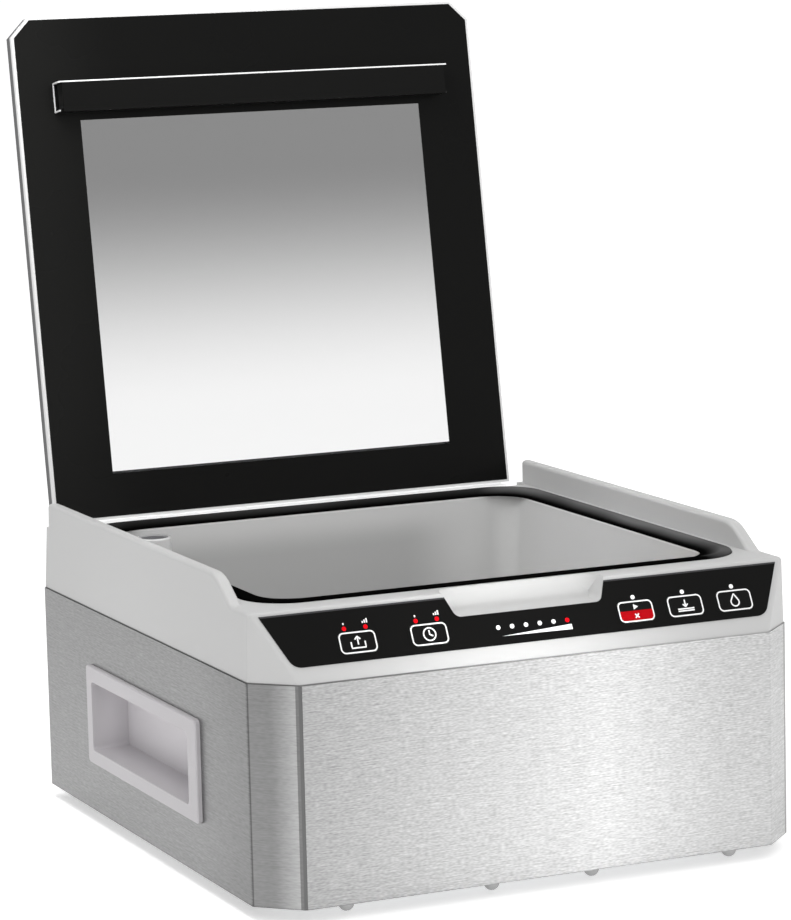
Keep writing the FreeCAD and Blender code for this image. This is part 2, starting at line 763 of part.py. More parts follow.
def cup_body(shrink):
    """Outside of the left handle cup behind its frame, made smaller on all sides."""
    wall = CUP_WALL - shrink
    y_range = (CUP_OPENING_Y[0] - wall, CUP_OPENING_Y[1] + wall)
    z_range = (SILL_Z + CUP_OPENING_HEIGHTS[0] - wall, SILL_Z + CUP_OPENING_HEIGHTS[1] + wall)
    outer_x = -BODY_WIDTH / 2
    inner_x = outer_x + CUP_DEPTH + wall
    return across(rectangle(y_range, z_range), CUP_OPENING_CORNER + wall, outer_x - 1, inner_x)


def handle_cup():
    """Left handle cup: a proud frame round a recess for the fingers."""
    outer_x = -BODY_WIDTH / 2
    face_x = outer_x - CUP_PROUD
    heights = [SILL_Z + height for height in CUP_FRAME_HEIGHTS]
    frame = across(rectangle(CUP_FRAME_Y, heights), CUP_FRAME_CORNER, face_x, outer_x)
    rim = [edge for edge in frame.Edges if edge.BoundBox.XMax < face_x + TOUCH]
    frame = frame.makeFillet(CUP_FRAME_ROUND, rim)
    opening_z = [SILL_Z + height for height in CUP_OPENING_HEIGHTS]
    mouth = outline(rectangle(CUP_OPENING_Y, opening_z), CUP_OPENING_CORNER, side(face_x - 1))
    back_y = (CUP_OPENING_Y[0] + CUP_DRAFT, CUP_OPENING_Y[1] - CUP_DRAFT)
    back_z = (opening_z[0] + CUP_DRAFT, opening_z[1] - CUP_DRAFT)
    back = outline(rectangle(back_y, back_z), CUP_OPENING_CORNER, side(outer_x + CUP_DEPTH))
    recess = Part.makeLoft([mouth, back], True, True)
    return joined([frame, cup_body(CUP_GAP)]).cut(recess)


# Deck

def deck_block(extra, z_low, z_high):
    """Tapered block of the deck's outside with flat sides, moved inwards by extra."""
    rings = []
    for z in (z_low, z_high):
        share = (z - STEEL_TOP_Z) / (WING_TOP_Z - STEEL_TOP_Z)
        sides = DECK_STEP + DECK_TAPER * share + extra
        rear = DECK_STEP + DECK_REAR_LEAN * share + extra
        rings.append([V(x, y, z) for x, y in footprint(sides, rear)])
    return frustum(*rings)


def before_fascia(out):
    """Everything in front of the sloping fascia, from a distance out of its surface."""
    return on_fascia(rectangle((-FAR, FAR), (-FAR / 2, FAR / 2)), 0, out, FAR)


def wing():
    """Right side wall: soft shoulder and foot at the front, rounded rear corner, softened inner edge."""
    low = RIM_Z - WING_ROOT
    rear = REAR_FACE_Y - DECK_STEP - DECK_REAR_LEAN - WING_REAR_GAP
    front = WING_FOOT_Y - WING_APRON
    rise = [(rear, low), (rear, WING_TOP_Z), (WING_SHOULDER_Y, WING_TOP_Z), (WING_FOOT_Y, RIM_Z),
            (front, RIM_Z), (front, low)]
    profile = across(rise, [0, 0, WING_SHOULDER_ROUND, WING_FOOT_ROUND, 0, 0], WING_INNER_X, BODY_WIDTH)
    flat = rectangle((WING_INNER_X, BODY_WIDTH), (-FAR, rear))
    wall = profile.common(upright(flat, [0, 0, 0, WING_REAR_ROUND], low, WING_TOP_Z))
    wall = wall.common(deck_block(0, STEEL_TOP_Z, WING_TOP_Z + CUT_MARGIN))

    def inner_edge(edge):
        bounds = edge.BoundBox
        stands = bounds.ZLength > bounds.YLength and bounds.YLength < WING_REAR_ROUND
        beside = bounds.XMin < WING_INNER_X + TOUCH and bounds.XLength < WING_REAR_ROUND + TOUCH
        return bounds.ZMin > RIM_Z - TOUCH and beside and not stands

    return wall.makeFillet(RIM_ROUND, [edge for edge in wall.Edges if inner_edge(edge)])


def rounded_block():
    """Outside of the deck: tapered block with a sloping fascia and two wings, its edges softened."""
    right = wing()
    block = joined([deck_block(0, STEEL_TOP_Z, RIM_Z).cut(before_fascia(0)), right, mirrored(right)])
    outer_x = BODY_WIDTH / 2 - DECK_STEP - DECK_TAPER - TOUCH
    front_y = WING_FOOT_Y - WING_APRON
    rear_y = REAR_FACE_Y - DECK_REAR_LEAN - 2 * WING_REAR_ROUND

    def outer_edge(edge):
        bounds = edge.BoundBox
        at_side = min(abs(bounds.XMin), abs(bounds.XMax)) > outer_x
        at_corner = bounds.YMax < front_y and bounds.ZLength > DECK_LIP
        at_top = bounds.ZMin > RIM_Z - TOUCH and bounds.YMin < rear_y
        return at_corner or at_top and (at_side or bounds.YMax < front_y)

    return block.makeFillet(RIM_ROUND, [edge for edge in block.Edges if outer_edge(edge)])


def recess_profile(grow):
    """Side outline of the finger recess: a nearly level floor that curves up to the rim."""
    floor_z = SILL_Z + FASCIA_TOP_HEIGHT + RECESS_DROP * SLOPE_DOWN_Z - grow
    front_y = -BODY_DEPTH / 2 - CUT_MARGIN
    back_y = RECESS_REAR_Y + grow
    top_z = RIM_Z + CUT_MARGIN
    return [(front_y, floor_z - RECESS_FLOOR_FALL), (back_y, floor_z + RECESS_FLOOR_RISE), (back_y, top_z),
            (front_y, top_z)]


def recess_front(grow):
    """Front outline of the finger recess, wider at its top."""
    slant = (RECESS_TOP_HALF - RECESS_FOOT_HALF) / RECESS_DROP
    foot = RECESS_FOOT_HALF + grow
    low = RECESS_DROP + grow
    top = foot + slant * (low + CUT_MARGIN)
    return [(-foot, low), (-top, -CUT_MARGIN), (top, -CUT_MARGIN), (foot, low)]


def finger_recess(grow):
    """Solid of the finger recess with round rear corners, grown on all sides."""
    side_solid = across(recess_profile(grow), [0, RECESS_BACK_ROUND + grow, 0, 0], -FAR, FAR)
    corner = RECESS_CORNER + grow
    front = Part.Face(outline(recess_front(grow), [corner, 0, 0, corner], fascia(0)))
    half = RECESS_TOP_HALF + RECESS_WALL + grow
    end_round = RECESS_END_ROUND + grow
    flat = rectangle((-half, half), (-BODY_DEPTH, RECESS_REAR_Y + grow))
    ends = upright(flat, [0, 0, end_round, end_round], STEEL_TOP_Z, RIM_Z + FAR)
    return side_solid.common(front.translated(V(0, -FAR / 2, 0)).extrude(V(0, FAR, 0))).common(ends)


def gasket_outline(inward, place):
    """Outer outline of the gasket, moved inwards on all sides."""
    x = GASKET_HALF_WIDTH - inward
    points = rectangle((-x, x), (GASKET_FRONT_Y + inward, GASKET_REAR_Y - inward))
    return outline(points, GASKET_CORNER - inward, place)


def key_outline(x, grow):
    """Rounded outline of one key on the slope, as points and corner radius."""
    return centred(x, KEY_DOWN, KEY_WIDTH + 2 * grow, KEY_HEIGHT + 2 * grow), KEY_CORNER + grow


def stem_outline(x, grow):
    """Rounded outline of a key's stem on the slope, as points and corner radius."""
    return centred(x, KEY_DOWN, STEM_WIDTH + 2 * grow, STEM_HEIGHT + 2 * grow), STEM_CORNER


def dot_places():
    """Places of the red and of the white dots on the slope."""
    red = [(KEYS_X[name] + step, DOT_DOWN) for name in ("vacuum_level_button", "seal_time_button")
           for step in (-LEVEL_DOT_SPREAD, LEVEL_DOT_SPREAD)]
    middle = (PROGRESS_COUNT - 1) / 2
    row = [((index - middle) * PROGRESS_PITCH, PROGRESS_DOWN) for index in range(PROGRESS_COUNT)]
    white = row[:-1] + [(KEYS_X[name], DOT_DOWN) for name in list(KEYS_X)[2:]]
    return red + row[-1:], white


def dot_bar(place, radius, out_low, out_high):
    """Round bar square to the slope."""
    return Part.makeCylinder(radius, out_high - out_low, fascia(out_low)(*place), SLOPE_OUT)


def deck():
    """Moulded deck: shell with fascia, wings, chamber opening, finger recess, hinge pocket, key holes."""
    pocket = box((-POCKET_HALF_WIDTH, POCKET_HALF_WIDTH), (POCKET_FRONT_Y, FAR), (POCKET_FLOOR_Z, FAR))
    wall_half = POCKET_HALF_WIDTH + POCKET_SIDE_WALL
    pocket_wall = box((-wall_half, wall_half), (POCKET_FRONT_Y - DECK_WALL, FAR),
                      (POCKET_FLOOR_Z - DECK_WALL, FAR))
    hollow = deck_block(DECK_WALL, STEEL_TOP_Z, PLATE_UNDER_Z).cut(before_fascia(-DECK_WALL))
    hollow = hollow.cut(finger_recess(RECESS_WALL)).cut(pocket_wall)
    lip_inset = STEEL_GAUGE + SLIP_GAP
    lip = upright(footprint(lip_inset, lip_inset + STEEL_GAUGE), 0, STEEL_TOP_Z - DECK_LIP, STEEL_TOP_Z)
    lip = lip.cut(upright(footprint(DECK_STEP + DECK_WALL), 0, 0, FAR))
    shell = joined([rounded_block().cut(hollow), lip])
    opening = Part.Face(gasket_outline(-GASKET_DECK_GAP, plan(PLATE_UNDER_Z - 1))).extrude(V(0, 0, FAR))
    shell = shell.cut(opening).cut(finger_recess(0)).cut(pocket)
    for x in KEYS_X.values():
        shell = shell.cut(on_fascia(*key_outline(x, KEY_GAP), -KEY_WELL, CUT_MARGIN))
        shell = shell.cut(on_fascia(*stem_outline(x, STEM_GAP), -STEM_REACH, 0))
    for places in dot_places():
        for place in places:
            shell = shell.cut(dot_bar(place, DOT_RADIUS + DOT_GAP, -STEM_REACH, CUT_MARGIN))
    return shell


# Chamber

def chamber_section(grow, z, share):
    """Rounded outline of the tub, grown outwards; share runs from 0 at the mouth to 1 at the floor."""
    inward = GASKET_STRIP + CHAMBER_LIP_WIDTH + CHAMBER_LIP_GAP + CHAMBER_DRAFT * share - grow
    x = GASKET_HALF_WIDTH - inward
    points = rectangle((-x, x), (GASKET_FRONT_Y + inward, GASKET_REAR_Y - inward))
    return outline(points, CHAMBER_CORNER + grow - CHAMBER_CORNER_DRAFT * share, plan(z))


def vacuum_chamber():
    """Tub with a flange under the deck, a lip inside the gasket and holes for post, vent and lift rods."""
    outside = Part.makeLoft([chamber_section(CHAMBER_WALL, FLANGE_TOP_Z, 0),
                             chamber_section(CHAMBER_WALL, CHAMBER_UNDER_Z, 1)], True, True)
    x = GASKET_HALF_WIDTH + TUB_FLANGE_SIDE
    flange_y = (GASKET_FRONT_Y - TUB_FLANGE_FRONT, GASKET_REAR_Y + TUB_FLANGE_REAR)
    flange = upright(rectangle((-x, x), flange_y), GASKET_CORNER, FLANGE_TOP_Z - CHAMBER_WALL, FLANGE_TOP_Z)
    lip_foot = Part.Face(chamber_section(CHAMBER_LIP_WIDTH, FLANGE_TOP_Z, 0))
    lip = lip_foot.extrude(V(0, 0, CHAMBER_LIP_HEIGHT))
    inside = Part.makeLoft([chamber_section(0, FLANGE_TOP_Z + CHAMBER_LIP_HEIGHT, 0),
                            chamber_section(0, CHAMBER_FLOOR_Z, 1)], True, True)
    floor_edges = [edge for edge in inside.Edges if edge.BoundBox.ZMax < CHAMBER_FLOOR_Z + TOUCH]
    inside = inside.makeFillet(CHAMBER_FLOOR_ROUND, floor_edges)
    nozzle_z = (CHAMBER_UNDER_Z - SPIGOT_LENGTH, CHAMBER_FLOOR_Z)
    nozzle = round_bar(VENT_NOZZLE_X, VENT_NOZZLE_Y, nozzle_z, SPIGOT_RADIUS)
    tub = joined([outside, flange, lip, nozzle]).cut(inside)
    holes = [(VENT_NOZZLE_X, VENT_NOZZLE_Y, SPIGOT_BORE), (POST_X, POST_Y, SPIGOT_RADIUS + RUNNING_FIT)]
    holes += [(rod_x, BAR_MIDDLE_Y, ROD_RADIUS + RUNNING_FIT) for rod_x in (-ROD_X, ROD_X)]
    for hole_x, hole_y, radius in holes:
        tub = tub.cut(round_bar(hole_x, hole_y, (0, CHAMBER_FLOOR_Z + CUT_MARGIN), radius))
    return tub


def chamber_gasket():
    """Soft seal on the tub's flange: a flat land at its outer edge, then a slope down to the mouth."""
    outside = Part.Face(gasket_outline(0, plan(FLANGE_TOP_Z)))
    hole = Part.Face(gasket_outline(GASKET_STRIP, plan(FLANGE_TOP_Z)))
    ring = outside.cut(hole).extrude(V(0, 0, GASKET_TOP_Z - FLANGE_TOP_Z))
    slope = Part.makeLoft([gasket_outline(GASKET_STRIP, plan(FLANGE_TOP_Z + GASKET_INNER_RISE)),
                           gasket_outline(GASKET_LAND, plan(GASKET_TOP_Z))], True, True)
    ring = ring.cut(slope)

    def top_outer(edge):
        bounds = edge.BoundBox
        far_x = max(abs(bounds.XMin), abs(bounds.XMax)) > GASKET_HALF_WIDTH - TOUCH
        far_y = bounds.YMin < GASKET_FRONT_Y + TOUCH or bounds.YMax > GASKET_REAR_Y - TOUCH
        return bounds.ZMin > GASKET_TOP_Z - TOUCH and (far_x or far_y)

    return ring.makeFillet(GASKET_EDGE_ROUND, [edge for edge in ring.Edges if top_outer(edge)])


def suction_post():
    """Tapered hollow post on the tub's floor with a spigot below for the suction hose."""
    height = POST_TOP_Z - CHAMBER_FLOOR_Z
    post = Part.makeCone(POST_FOOT_RADIUS, POST_TOP_RADIUS, height, V(POST_X, POST_Y, CHAMBER_FLOOR_Z))
    top_edge = [edge for edge in post.Edges if edge.BoundBox.ZMin > POST_TOP_Z - TOUCH]
    post = post.makeFillet(POST_ROUND, top_edge)
    spigot = round_bar(POST_X, POST_Y, (CHAMBER_UNDER_Z - SPIGOT_LENGTH, CHAMBER_FLOOR_Z), SPIGOT_RADIUS)
    seat = round_bar(POST_X, POST_Y, (POST_TOP_Z - FILTER_SEAT, FAR), POST_TOP_RADIUS - POST_RIM)
    bore = round_bar(POST_X, POST_Y, (0, POST_TOP_Z), SPIGOT_BORE)
    return joined([post, spigot]).cut(seat).cut(bore)


def suction_filter():
    """Dished filter disc in the top of the suction post."""
    z_range = (POST_TOP_Z - FILTER_SEAT, POST_TOP_Z - FILTER_SINK)
    disc = round_bar(POST_X, POST_Y, z_range, POST_TOP_RADIUS - POST_RIM)
    dish_z = POST_TOP_Z - FILTER_DISH_DEPTH + FILTER_DISH_RADIUS
    return disc.cut(Part.makeSphere(FILTER_DISH_RADIUS, V(POST_X, POST_Y, dish_z)))


# Control panel

def control_overlay():
    """Black panel sheet on the fascia, cut out for the finger recess, the keys and the dots."""
    notch_top = RECESS_TOP_HALF + OVERLAY_GAP
    notch_foot = RECESS_FOOT_HALF + OVERLAY_GAP
    notch_low = RECESS_DROP + OVERLAY_GAP
    points = [(-OVERLAY_TOP_HALF, 0), (-notch_top, 0), (-notch_foot, notch_low), (notch_foot, notch_low),
              (notch_top, 0), (OVERLAY_TOP_HALF, 0), (OVERLAY_FOOT_HALF, SLOPE_LENGTH),
              (-OVERLAY_FOOT_HALF, SLOPE_LENGTH)]
    radii = [0, 0, RECESS_CORNER, RECESS_CORNER, 0, 0, OVERLAY_CORNER, OVERLAY_CORNER]
    sheet = on_fascia(points, radii, 0, OVERLAY_THICKNESS)
    for x in KEYS_X.values():
        sheet = sheet.cut(on_fascia(*key_outline(x, KEY_GAP), -1, CUT_MARGIN))
    for places in dot_places():
        for place in places:
            sheet = sheet.cut(dot_bar(place, DOT_RADIUS + RUNNING_FIT, -1, CUT_MARGIN))
    return sheet


def key(x):
    """Key cap with a stem through the fascia."""
    cap = on_fascia(*key_outline(x, 0), -KEY_SINK, OVERLAY_THICKNESS + KEY_PROUD)
    stem = on_fascia(*stem_outline(x, 0), -STEM_REACH, -KEY_SINK)
    return joined([cap, stem])


def dots(places):
    """Light guides from the board to the face of the overlay."""
    top = OVERLAY_THICKNESS + DOT_PROUD
    return Part.makeCompound([dot_bar(place, DOT_RADIUS, -PANEL_BOARD_DEPTH, top) for place in places])


def control_board():
    """Board behind the fascia."""
    sheet = rectangle((-PANEL_BOARD_HALF, PANEL_BOARD_HALF), PANEL_BOARD_DOWN)
    return on_fascia(sheet, BOARD_CORNER, -PANEL_BOARD_DEPTH - BOARD_GAUGE, -PANEL_BOARD_DEPTH)


def tact_switches():
    """One switch on the board behind each key."""
    top = TACT_HEIGHT - PANEL_BOARD_DEPTH
    switches = []
    for x in KEYS_X.values():
        body = on_fascia(centred(x, KEY_DOWN, TACT_SIZE, TACT_SIZE), TACT_CORNER, -PANEL_BOARD_DEPTH, top)
        plunger = dot_bar((x, KEY_DOWN), TACT_PLUNGER_RADIUS, top, -STEM_REACH - KEY_TRAVEL - KEY_GAP)
        switches.append(joined([body, plunger]))
    return Part.makeCompound(switches)


# Rear fittings

def fitting(x, half_width, flange):
    """Body and flange of a fitting clipped into the rear panel."""
    body = box((x - half_width, x + half_width), (FITTING_FRONT_Y, REAR_FACE_Y),
               (FITTING_Z - FITTING_HALF_HEIGHT, FITTING_Z + FITTING_HALF_HEIGHT))
    face = centred(x, FITTING_Z, 2 * (half_width + flange), 2 * (FITTING_HALF_HEIGHT + FITTING_FLANGE))
    plate = prism(face, FITTING_CORNER, upright_at(REAR_FACE_Y), V(0, FITTING_PLATE, 0))
    return joined([body, plate])


def inlet_pin_boxes(y_range):
    """The inlet's three flat pins over a range of Y."""
    places = [(-PIN_STEP, -PIN_LOW), (0, PIN_HIGH), (PIN_STEP, -PIN_LOW)]
    return [box((INLET_X + x - PIN_HALF_WIDTH, INLET_X + x + PIN_HALF_WIDTH), y_range,
                (FITTING_Z + z - PIN_HALF_HEIGHT, FITTING_Z + z + PIN_HALF_HEIGHT)) for x, z in places]


def power_inlet():
    """Mains inlet socket with a deep recess."""
    socket = centred(INLET_X, FITTING_Z, SOCKET_WIDTH, SOCKET_HEIGHT)
    recess = prism(socket, SOCKET_CORNERS, upright_at(REAR_FACE_Y - SOCKET_DEPTH), V(0, FAR, 0))
    shell = fitting(INLET_X, INLET_HALF_WIDTH, INLET_FLANGE).cut(recess)
    for pin in inlet_pin_boxes((0, REAR_FACE_Y)):
        shell = shell.cut(pin)
    return shell


def inlet_pins():
    """Flat pins of the inlet, their tips short of its mouth."""
    return Part.makeCompound(inlet_pin_boxes((PIN_BACK_Y, REAR_FACE_Y - PIN_TIP_DEPTH)))


def rocker_frame():
    """Frame of the main switch, hollow for the rocker, with pivot holes."""
    well = box((SWITCH_X - ROCKER_WELL_HALF_WIDTH, SWITCH_X + ROCKER_WELL_HALF_WIDTH),
               (REAR_FACE_Y - ROCKER_WELL_DEPTH, FAR),
               (FITTING_Z - ROCKER_WELL_HALF_HEIGHT, FITTING_Z + ROCKER_WELL_HALF_HEIGHT))
    half = PIVOT_HALF_LENGTH + END_GAP
    pivot_y = REAR_FACE_Y - ROCKER_PIVOT_DEPTH
    pivot = bar_along_x((SWITCH_X - half, SWITCH_X + half), pivot_y, FITTING_Z, PIVOT_RADIUS + RUNNING_FIT)
    return fitting(SWITCH_X, SWITCH_HALF_WIDTH, SWITCH_FLANGE).cut(well).cut(pivot)


def power_rocker():
    """Rocker with two flat faces meeting in a shallow valley, at rest on its lower end."""
    x_range = (SWITCH_X - ROCKER_HALF_WIDTH, SWITCH_X + ROCKER_HALF_WIDTH)
    pivot_y = REAR_FACE_Y - ROCKER_PIVOT_DEPTH
    disc = bar_along_x(x_range, pivot_y, FITTING_Z, ROCKER_RADIUS)
    valley_y = pivot_y + ROCKER_VALLEY
    crest_y = valley_y + ROCKER_RADIUS * math.tan(math.radians(ROCKER_TILT))
    back_y = pivot_y - ROCKER_BACK
    low_z = FITTING_Z - ROCKER_RADIUS
    high_z = FITTING_Z + ROCKER_RADIUS
    profile = [(back_y, low_z), (crest_y, low_z), (valley_y, FITTING_Z), (crest_y, high_z),
               (back_y, high_z)]
    body = disc.common(across(profile, 0, *x_range))
    pin_x = (SWITCH_X - PIVOT_HALF_LENGTH, SWITCH_X + PIVOT_HALF_LENGTH)
    pins = bar_along_x(pin_x, pivot_y, FITTING_Z, PIVOT_RADIUS)
    return joined([body, pins]).rotated(V(SWITCH_X, pivot_y, FITTING_Z), V(1, 0, 0), -ROCKER_TILT)


# Lid

def lid_outline(margin, corner_cut):
    """Plan outline of the shut lid with cut front corners, grown by a margin from the border sheet."""
    x = BORDER_HALF_WIDTH + margin
    front = BORDER_FRONT_Y - margin
    rear = BORDER_REAR_Y + margin
    return [(corner_cut - x, front), (x - corner_cut, front), (x, front + corner_cut), (x, rear),
            (-x, rear), (-x, front + corner_cut)]


def lid_border():
    """Black border sheet on the lid's underside, cut out for the window."""
    sheet = upright(lid_outline(0, BORDER_CORNER_CUT), 0, LID_SEAT_Z, LID_SEAT_Z + BORDER_THICKNESS)
    window_y = (BORDER_REAR_Y - WINDOW_FAR, BORDER_REAR_Y - WINDOW_NEAR)
    return sheet.cut(box((-WINDOW_HALF_WIDTH, WINDOW_HALF_WIDTH), window_y, (0, FAR)))


def lid_pane():
    """Clear pane, rebated round its outer face for the back frame."""
    low = LID_SEAT_Z + BORDER_THICKNESS + BOND_GAP
    pane = upright(lid_outline(-BOND_GAP, BORDER_CORNER_CUT), 0, low, LID_TOP_Z)
    rebate = upright(lid_outline(CUT_MARGIN, BORDER_CORNER_CUT), 0, BAND_TOP_Z - BOND_GAP, FAR)
    inside = LID_MARGIN - BACK_FRAME_WIDTH - BOND_GAP
    return pane.cut(rebate.cut(upright(lid_outline(inside, BORDER_CORNER_CUT), 0, 0, FAR)))


def lid_edge_band():
    """White band round the edge of the pane, seen as a bright line beside the border."""
    z_range = (LID_SEAT_Z + EDGE_BAND_SINK, BAND_TOP_Z - BOND_GAP)
    band = upright(lid_outline(LID_MARGIN, EDGE_BAND_CORNER_CUT), 0, *z_range)
    return band.cut(upright(lid_outline(0, BORDER_CORNER_CUT), 0, 0, FAR))


def lid_back_frame():
    """Dark frame round the outer face of the lid, holding the pane."""
    frame = upright(lid_outline(LID_MARGIN, EDGE_BAND_CORNER_CUT), 0, BAND_TOP_Z, LID_TOP_Z)
    outer_edges = [edge for edge in frame.Edges if edge.BoundBox.ZMin > LID_TOP_Z - TOUCH]
    frame = frame.makeFillet(BACK_FRAME_ROUND, outer_edges)
    return frame.cut(upright(lid_outline(LID_MARGIN - BACK_FRAME_WIDTH, BORDER_CORNER_CUT), 0, 0, FAR))


def lid_magnet():
    """Disc magnet let into the pane above the lid sensor."""
    low = LID_SEAT_Z + BORDER_THICKNESS + BOND_GAP
    return round_bar(MAGNET_X, MAGNET_Y, (low, low + MAGNET_HEIGHT), MAGNET_RADIUS)


def lid_sensor():
    """Sensor block under the tub's flange, below the lid's magnet."""
    top_z = FLANGE_TOP_Z - CHAMBER_WALL
    body = centred(MAGNET_X, MAGNET_Y, SENSOR_WIDTH, SENSOR_LENGTH)
    return upright(body, SENSOR_CORNER, top_z - SENSOR_HEIGHT, top_z)


# Hinge

def knuckle_spans():
    """X ranges of the hinge knuckles from left to right; the lid holds the first, third and fifth."""
    length = 2 * HINGE_HALF_LENGTH / KNUCKLE_COUNT
    starts = [index * length - HINGE_HALF_LENGTH for index in range(KNUCKLE_COUNT)]
    return [(start + KNUCKLE_GAP / 2, start + length - KNUCKLE_GAP / 2) for start in starts]


def knuckles(spans, corners, pin_gap):
    """Bored barrels of the hinge over the given X ranges, each with the arm of the given corners."""
    pieces = []
    for span in spans:
        arm = across(corners, 0, *span)
        barrel = bar_along_x(span, HINGE_Y, HINGE_Z, BARREL_RADIUS)
        bore = bar_along_x(span, HINGE_Y, HINGE_Z, HINGE_PIN_RADIUS + pin_gap)
        pieces.append(joined([arm, barrel]).cut(bore))
    return pieces


def hinge_lid_leaf():
    """Lid leaf of the hinge: strip on the lid's rear edge with arms down to its knuckles."""
    strip_y = (LID_REAR_Y, LID_REAR_Y + LEAF_GAUGE)
    strip_z = (LID_SEAT_Z - LEAF_SETBACK, LID_TOP_Z - LEAF_SETBACK)
    strip = box((-HINGE_HALF_LENGTH, HINGE_HALF_LENGTH), strip_y, strip_z)
    foot = [(HINGE_Y + y, HINGE_Z + z) for y, z in LID_ARM_FOOT]
    corners = [(strip_y[0], LID_SEAT_Z)] + foot + [(strip_y[1], LID_SEAT_Z)]
    return joined([strip] + knuckles(knuckle_spans()[0::2], corners, RUNNING_FIT))


def hinge_deck_leaf():
    """Fixed leaf of the hinge: plate on the pocket floor with arms up to its knuckles."""
    plate_y = (POCKET_FRONT_Y + SHEET_GAP, HINGE_Y + DECK_ARM_FOOT[1])
    plate_z = (POCKET_FLOOR_Z, POCKET_FLOOR_Z + LEAF_GAUGE)
    plate = box((-HINGE_HALF_LENGTH, HINGE_HALF_LENGTH), plate_y, plate_z)
    corners = [(HINGE_Y + y, POCKET_FLOOR_Z) for y in DECK_ARM_FOOT]
    corners += [(HINGE_Y + y, HINGE_Z + z) for y, z in DECK_ARM_TOP]
    return joined([plate] + knuckles(knuckle_spans()[1::2], corners, 0))


def hinge_pin():
    """Steel pin through all the knuckles."""
    return bar_along_x((-HINGE_HALF_LENGTH, HINGE_HALF_LENGTH), HINGE_Y, HINGE_Z, HINGE_PIN_RADIUS)


# Press bar

def press_screw_places():
    """Plan places of the screws that hold the press bar."""
    return [(x, BAR_MIDDLE_Y) for x in PRESS_SCREWS_X]


def press_bar_channel():
    """Bright channel under the lid, its front flange longer than its rear one."""
    x_range = (-BAR_HALF_LENGTH, BAR_HALF_LENGTH)
    web = box(x_range, (BAR_FRONT_Y, BAR_BACK_Y), (BAR_WEB_Z, LID_SEAT_Z))
    front = box(x_range, (BAR_FRONT_Y, BAR_FRONT_Y + BAR_GAUGE), (BAR_FACE_Z, LID_SEAT_Z))
    rear = box(x_range, (BAR_BACK_Y - BAR_GAUGE, BAR_BACK_Y), (BAR_FACE_Z + BAR_REAR_SHORT, LID_SEAT_Z))
    return drilled_up(joined([web, front, rear]), press_screw_places(), (0, FAR))


def press_bar_pad():
    """Black pad in the channel, folded over the tip of the rear flange."""
    half = BAR_HALF_LENGTH - PAD_INSET
    back_y = BAR_BACK_Y - BAR_GAUGE - BOND_GAP
    pad_top = BAR_WEB_Z - SCREW_HEAD_HEIGHT - END_GAP
    body = box((-half, half), (BAR_FRONT_Y + BAR_GAUGE + BOND_GAP, back_y), (BAR_FACE_Z, pad_top))
    fold_y = (back_y, BAR_BACK_Y + PAD_FOLD_REACH)
    fold = box((-half, half), fold_y, (BAR_FACE_Z, BAR_FACE_Z + PAD_FOLD_HEIGHT))
    return joined([body, fold])


def press_bar_screws():
    """Flat screws inside the channel, driven into the lid."""
    screws = []
    for x, y in press_screw_places():
        head = round_bar(x, y, (BAR_WEB_Z - SCREW_HEAD_HEIGHT, BAR_WEB_Z), SCREW_HEAD_RADIUS)
        shank = round_bar(x, y, (BAR_WEB_Z, LID_SEAT_Z + SCREW_REACH), SCREW_SHANK_RADIUS)
        screws.append(joined([head, shank]))
    return Part.makeCompound(screws)


# Seal bar

def about_bar(half_length, width, z_range):
    """Box along the middle line of the seal bar."""
    return upright(centred(0, BAR_MIDDLE_Y, 2 * half_length, width), 0, *z_range)


def seal_bar_base():
    """Bar that carries the heater."""
    return about_bar(SEAL_BAR_HALF_LENGTH, SEAL_BAR_WIDTH, (SEAL_TOP_Z - SEAL_BAR_HEIGHT, SEAL_BASE_TOP_Z))


def heater_strip():
    """Flat heating strip along the middle of the bar."""
    z_range = (SEAL_BASE_TOP_Z, SEAL_BASE_TOP_Z + HEATER_GAUGE)
    return about_bar(SEAL_BAR_HALF_LENGTH - HEATER_INSET, HEATER_WIDTH, z_range)


def seal_cover_tape():
    """Cover tape over the heater, folded down both sides of the bar."""
    half = SEAL_BAR_HALF_LENGTH - TAPE_INSET
    inner_width = SEAL_BAR_WIDTH + 2 * TAPE_GAP
    outer = about_bar(half, inner_width + 2 * TAPE_GAUGE, (SEAL_TOP_Z - TAPE_FOLD, SEAL_TOP_Z))
    return outer.cut(about_bar(FAR, inner_width, (0, SEAL_TOP_Z - TAPE_GAUGE)))


def lift_rods():
    """Rods under the bar, each with a piston in its cylinder."""
    rods = []
    for x in (-ROD_X, ROD_X):
        rod = round_bar(x, BAR_MIDDLE_Y, (PISTON_Z, SEAL_TOP_Z - SEAL_BAR_HEIGHT), ROD_RADIUS)
        piston = round_bar(x, BAR_MIDDLE_Y, (PISTON_Z, PISTON_Z + PISTON_HEIGHT), PISTON_RADIUS)
        rods.append(joined([rod, piston]))
    return Part.makeCompound(rods)


def seal_cylinders():
    """Air cylinders under the tub that raise the seal bar, their hose barbs facing each other."""
    wall_radius = PISTON_RADIUS + CYLINDER_WALL
    bore_z = (CYLINDER_LOW_Z + CYLINDER_FOOT, CHAMBER_UNDER_Z - CYLINDER_HEAD)
    cylinders = []
    for side_sign in (-1, 1):
        x = side_sign * ROD_X
        body = round_bar(x, BAR_MIDDLE_Y, (CYLINDER_LOW_Z, CHAMBER_UNDER_Z), wall_radius)
        bore = round_bar(x, BAR_MIDDLE_Y, bore_z, PISTON_RADIUS + RUNNING_FIT)
        rod_hole = round_bar(x, BAR_MIDDLE_Y, (bore_z[0], FAR), ROD_RADIUS + RUNNING_FIT)
        barb_x = sorted((x, x - side_sign * (wall_radius + BARB_LENGTH)))
        barb = bar_along_x(barb_x, BAR_MIDDLE_Y, SEAL_HOSE_Z, SPIGOT_RADIUS)
        cylinders.append(joined([body, barb]).cut(bore).cut(rod_hole))
    return Part.makeCompound(cylinders)


# Pump

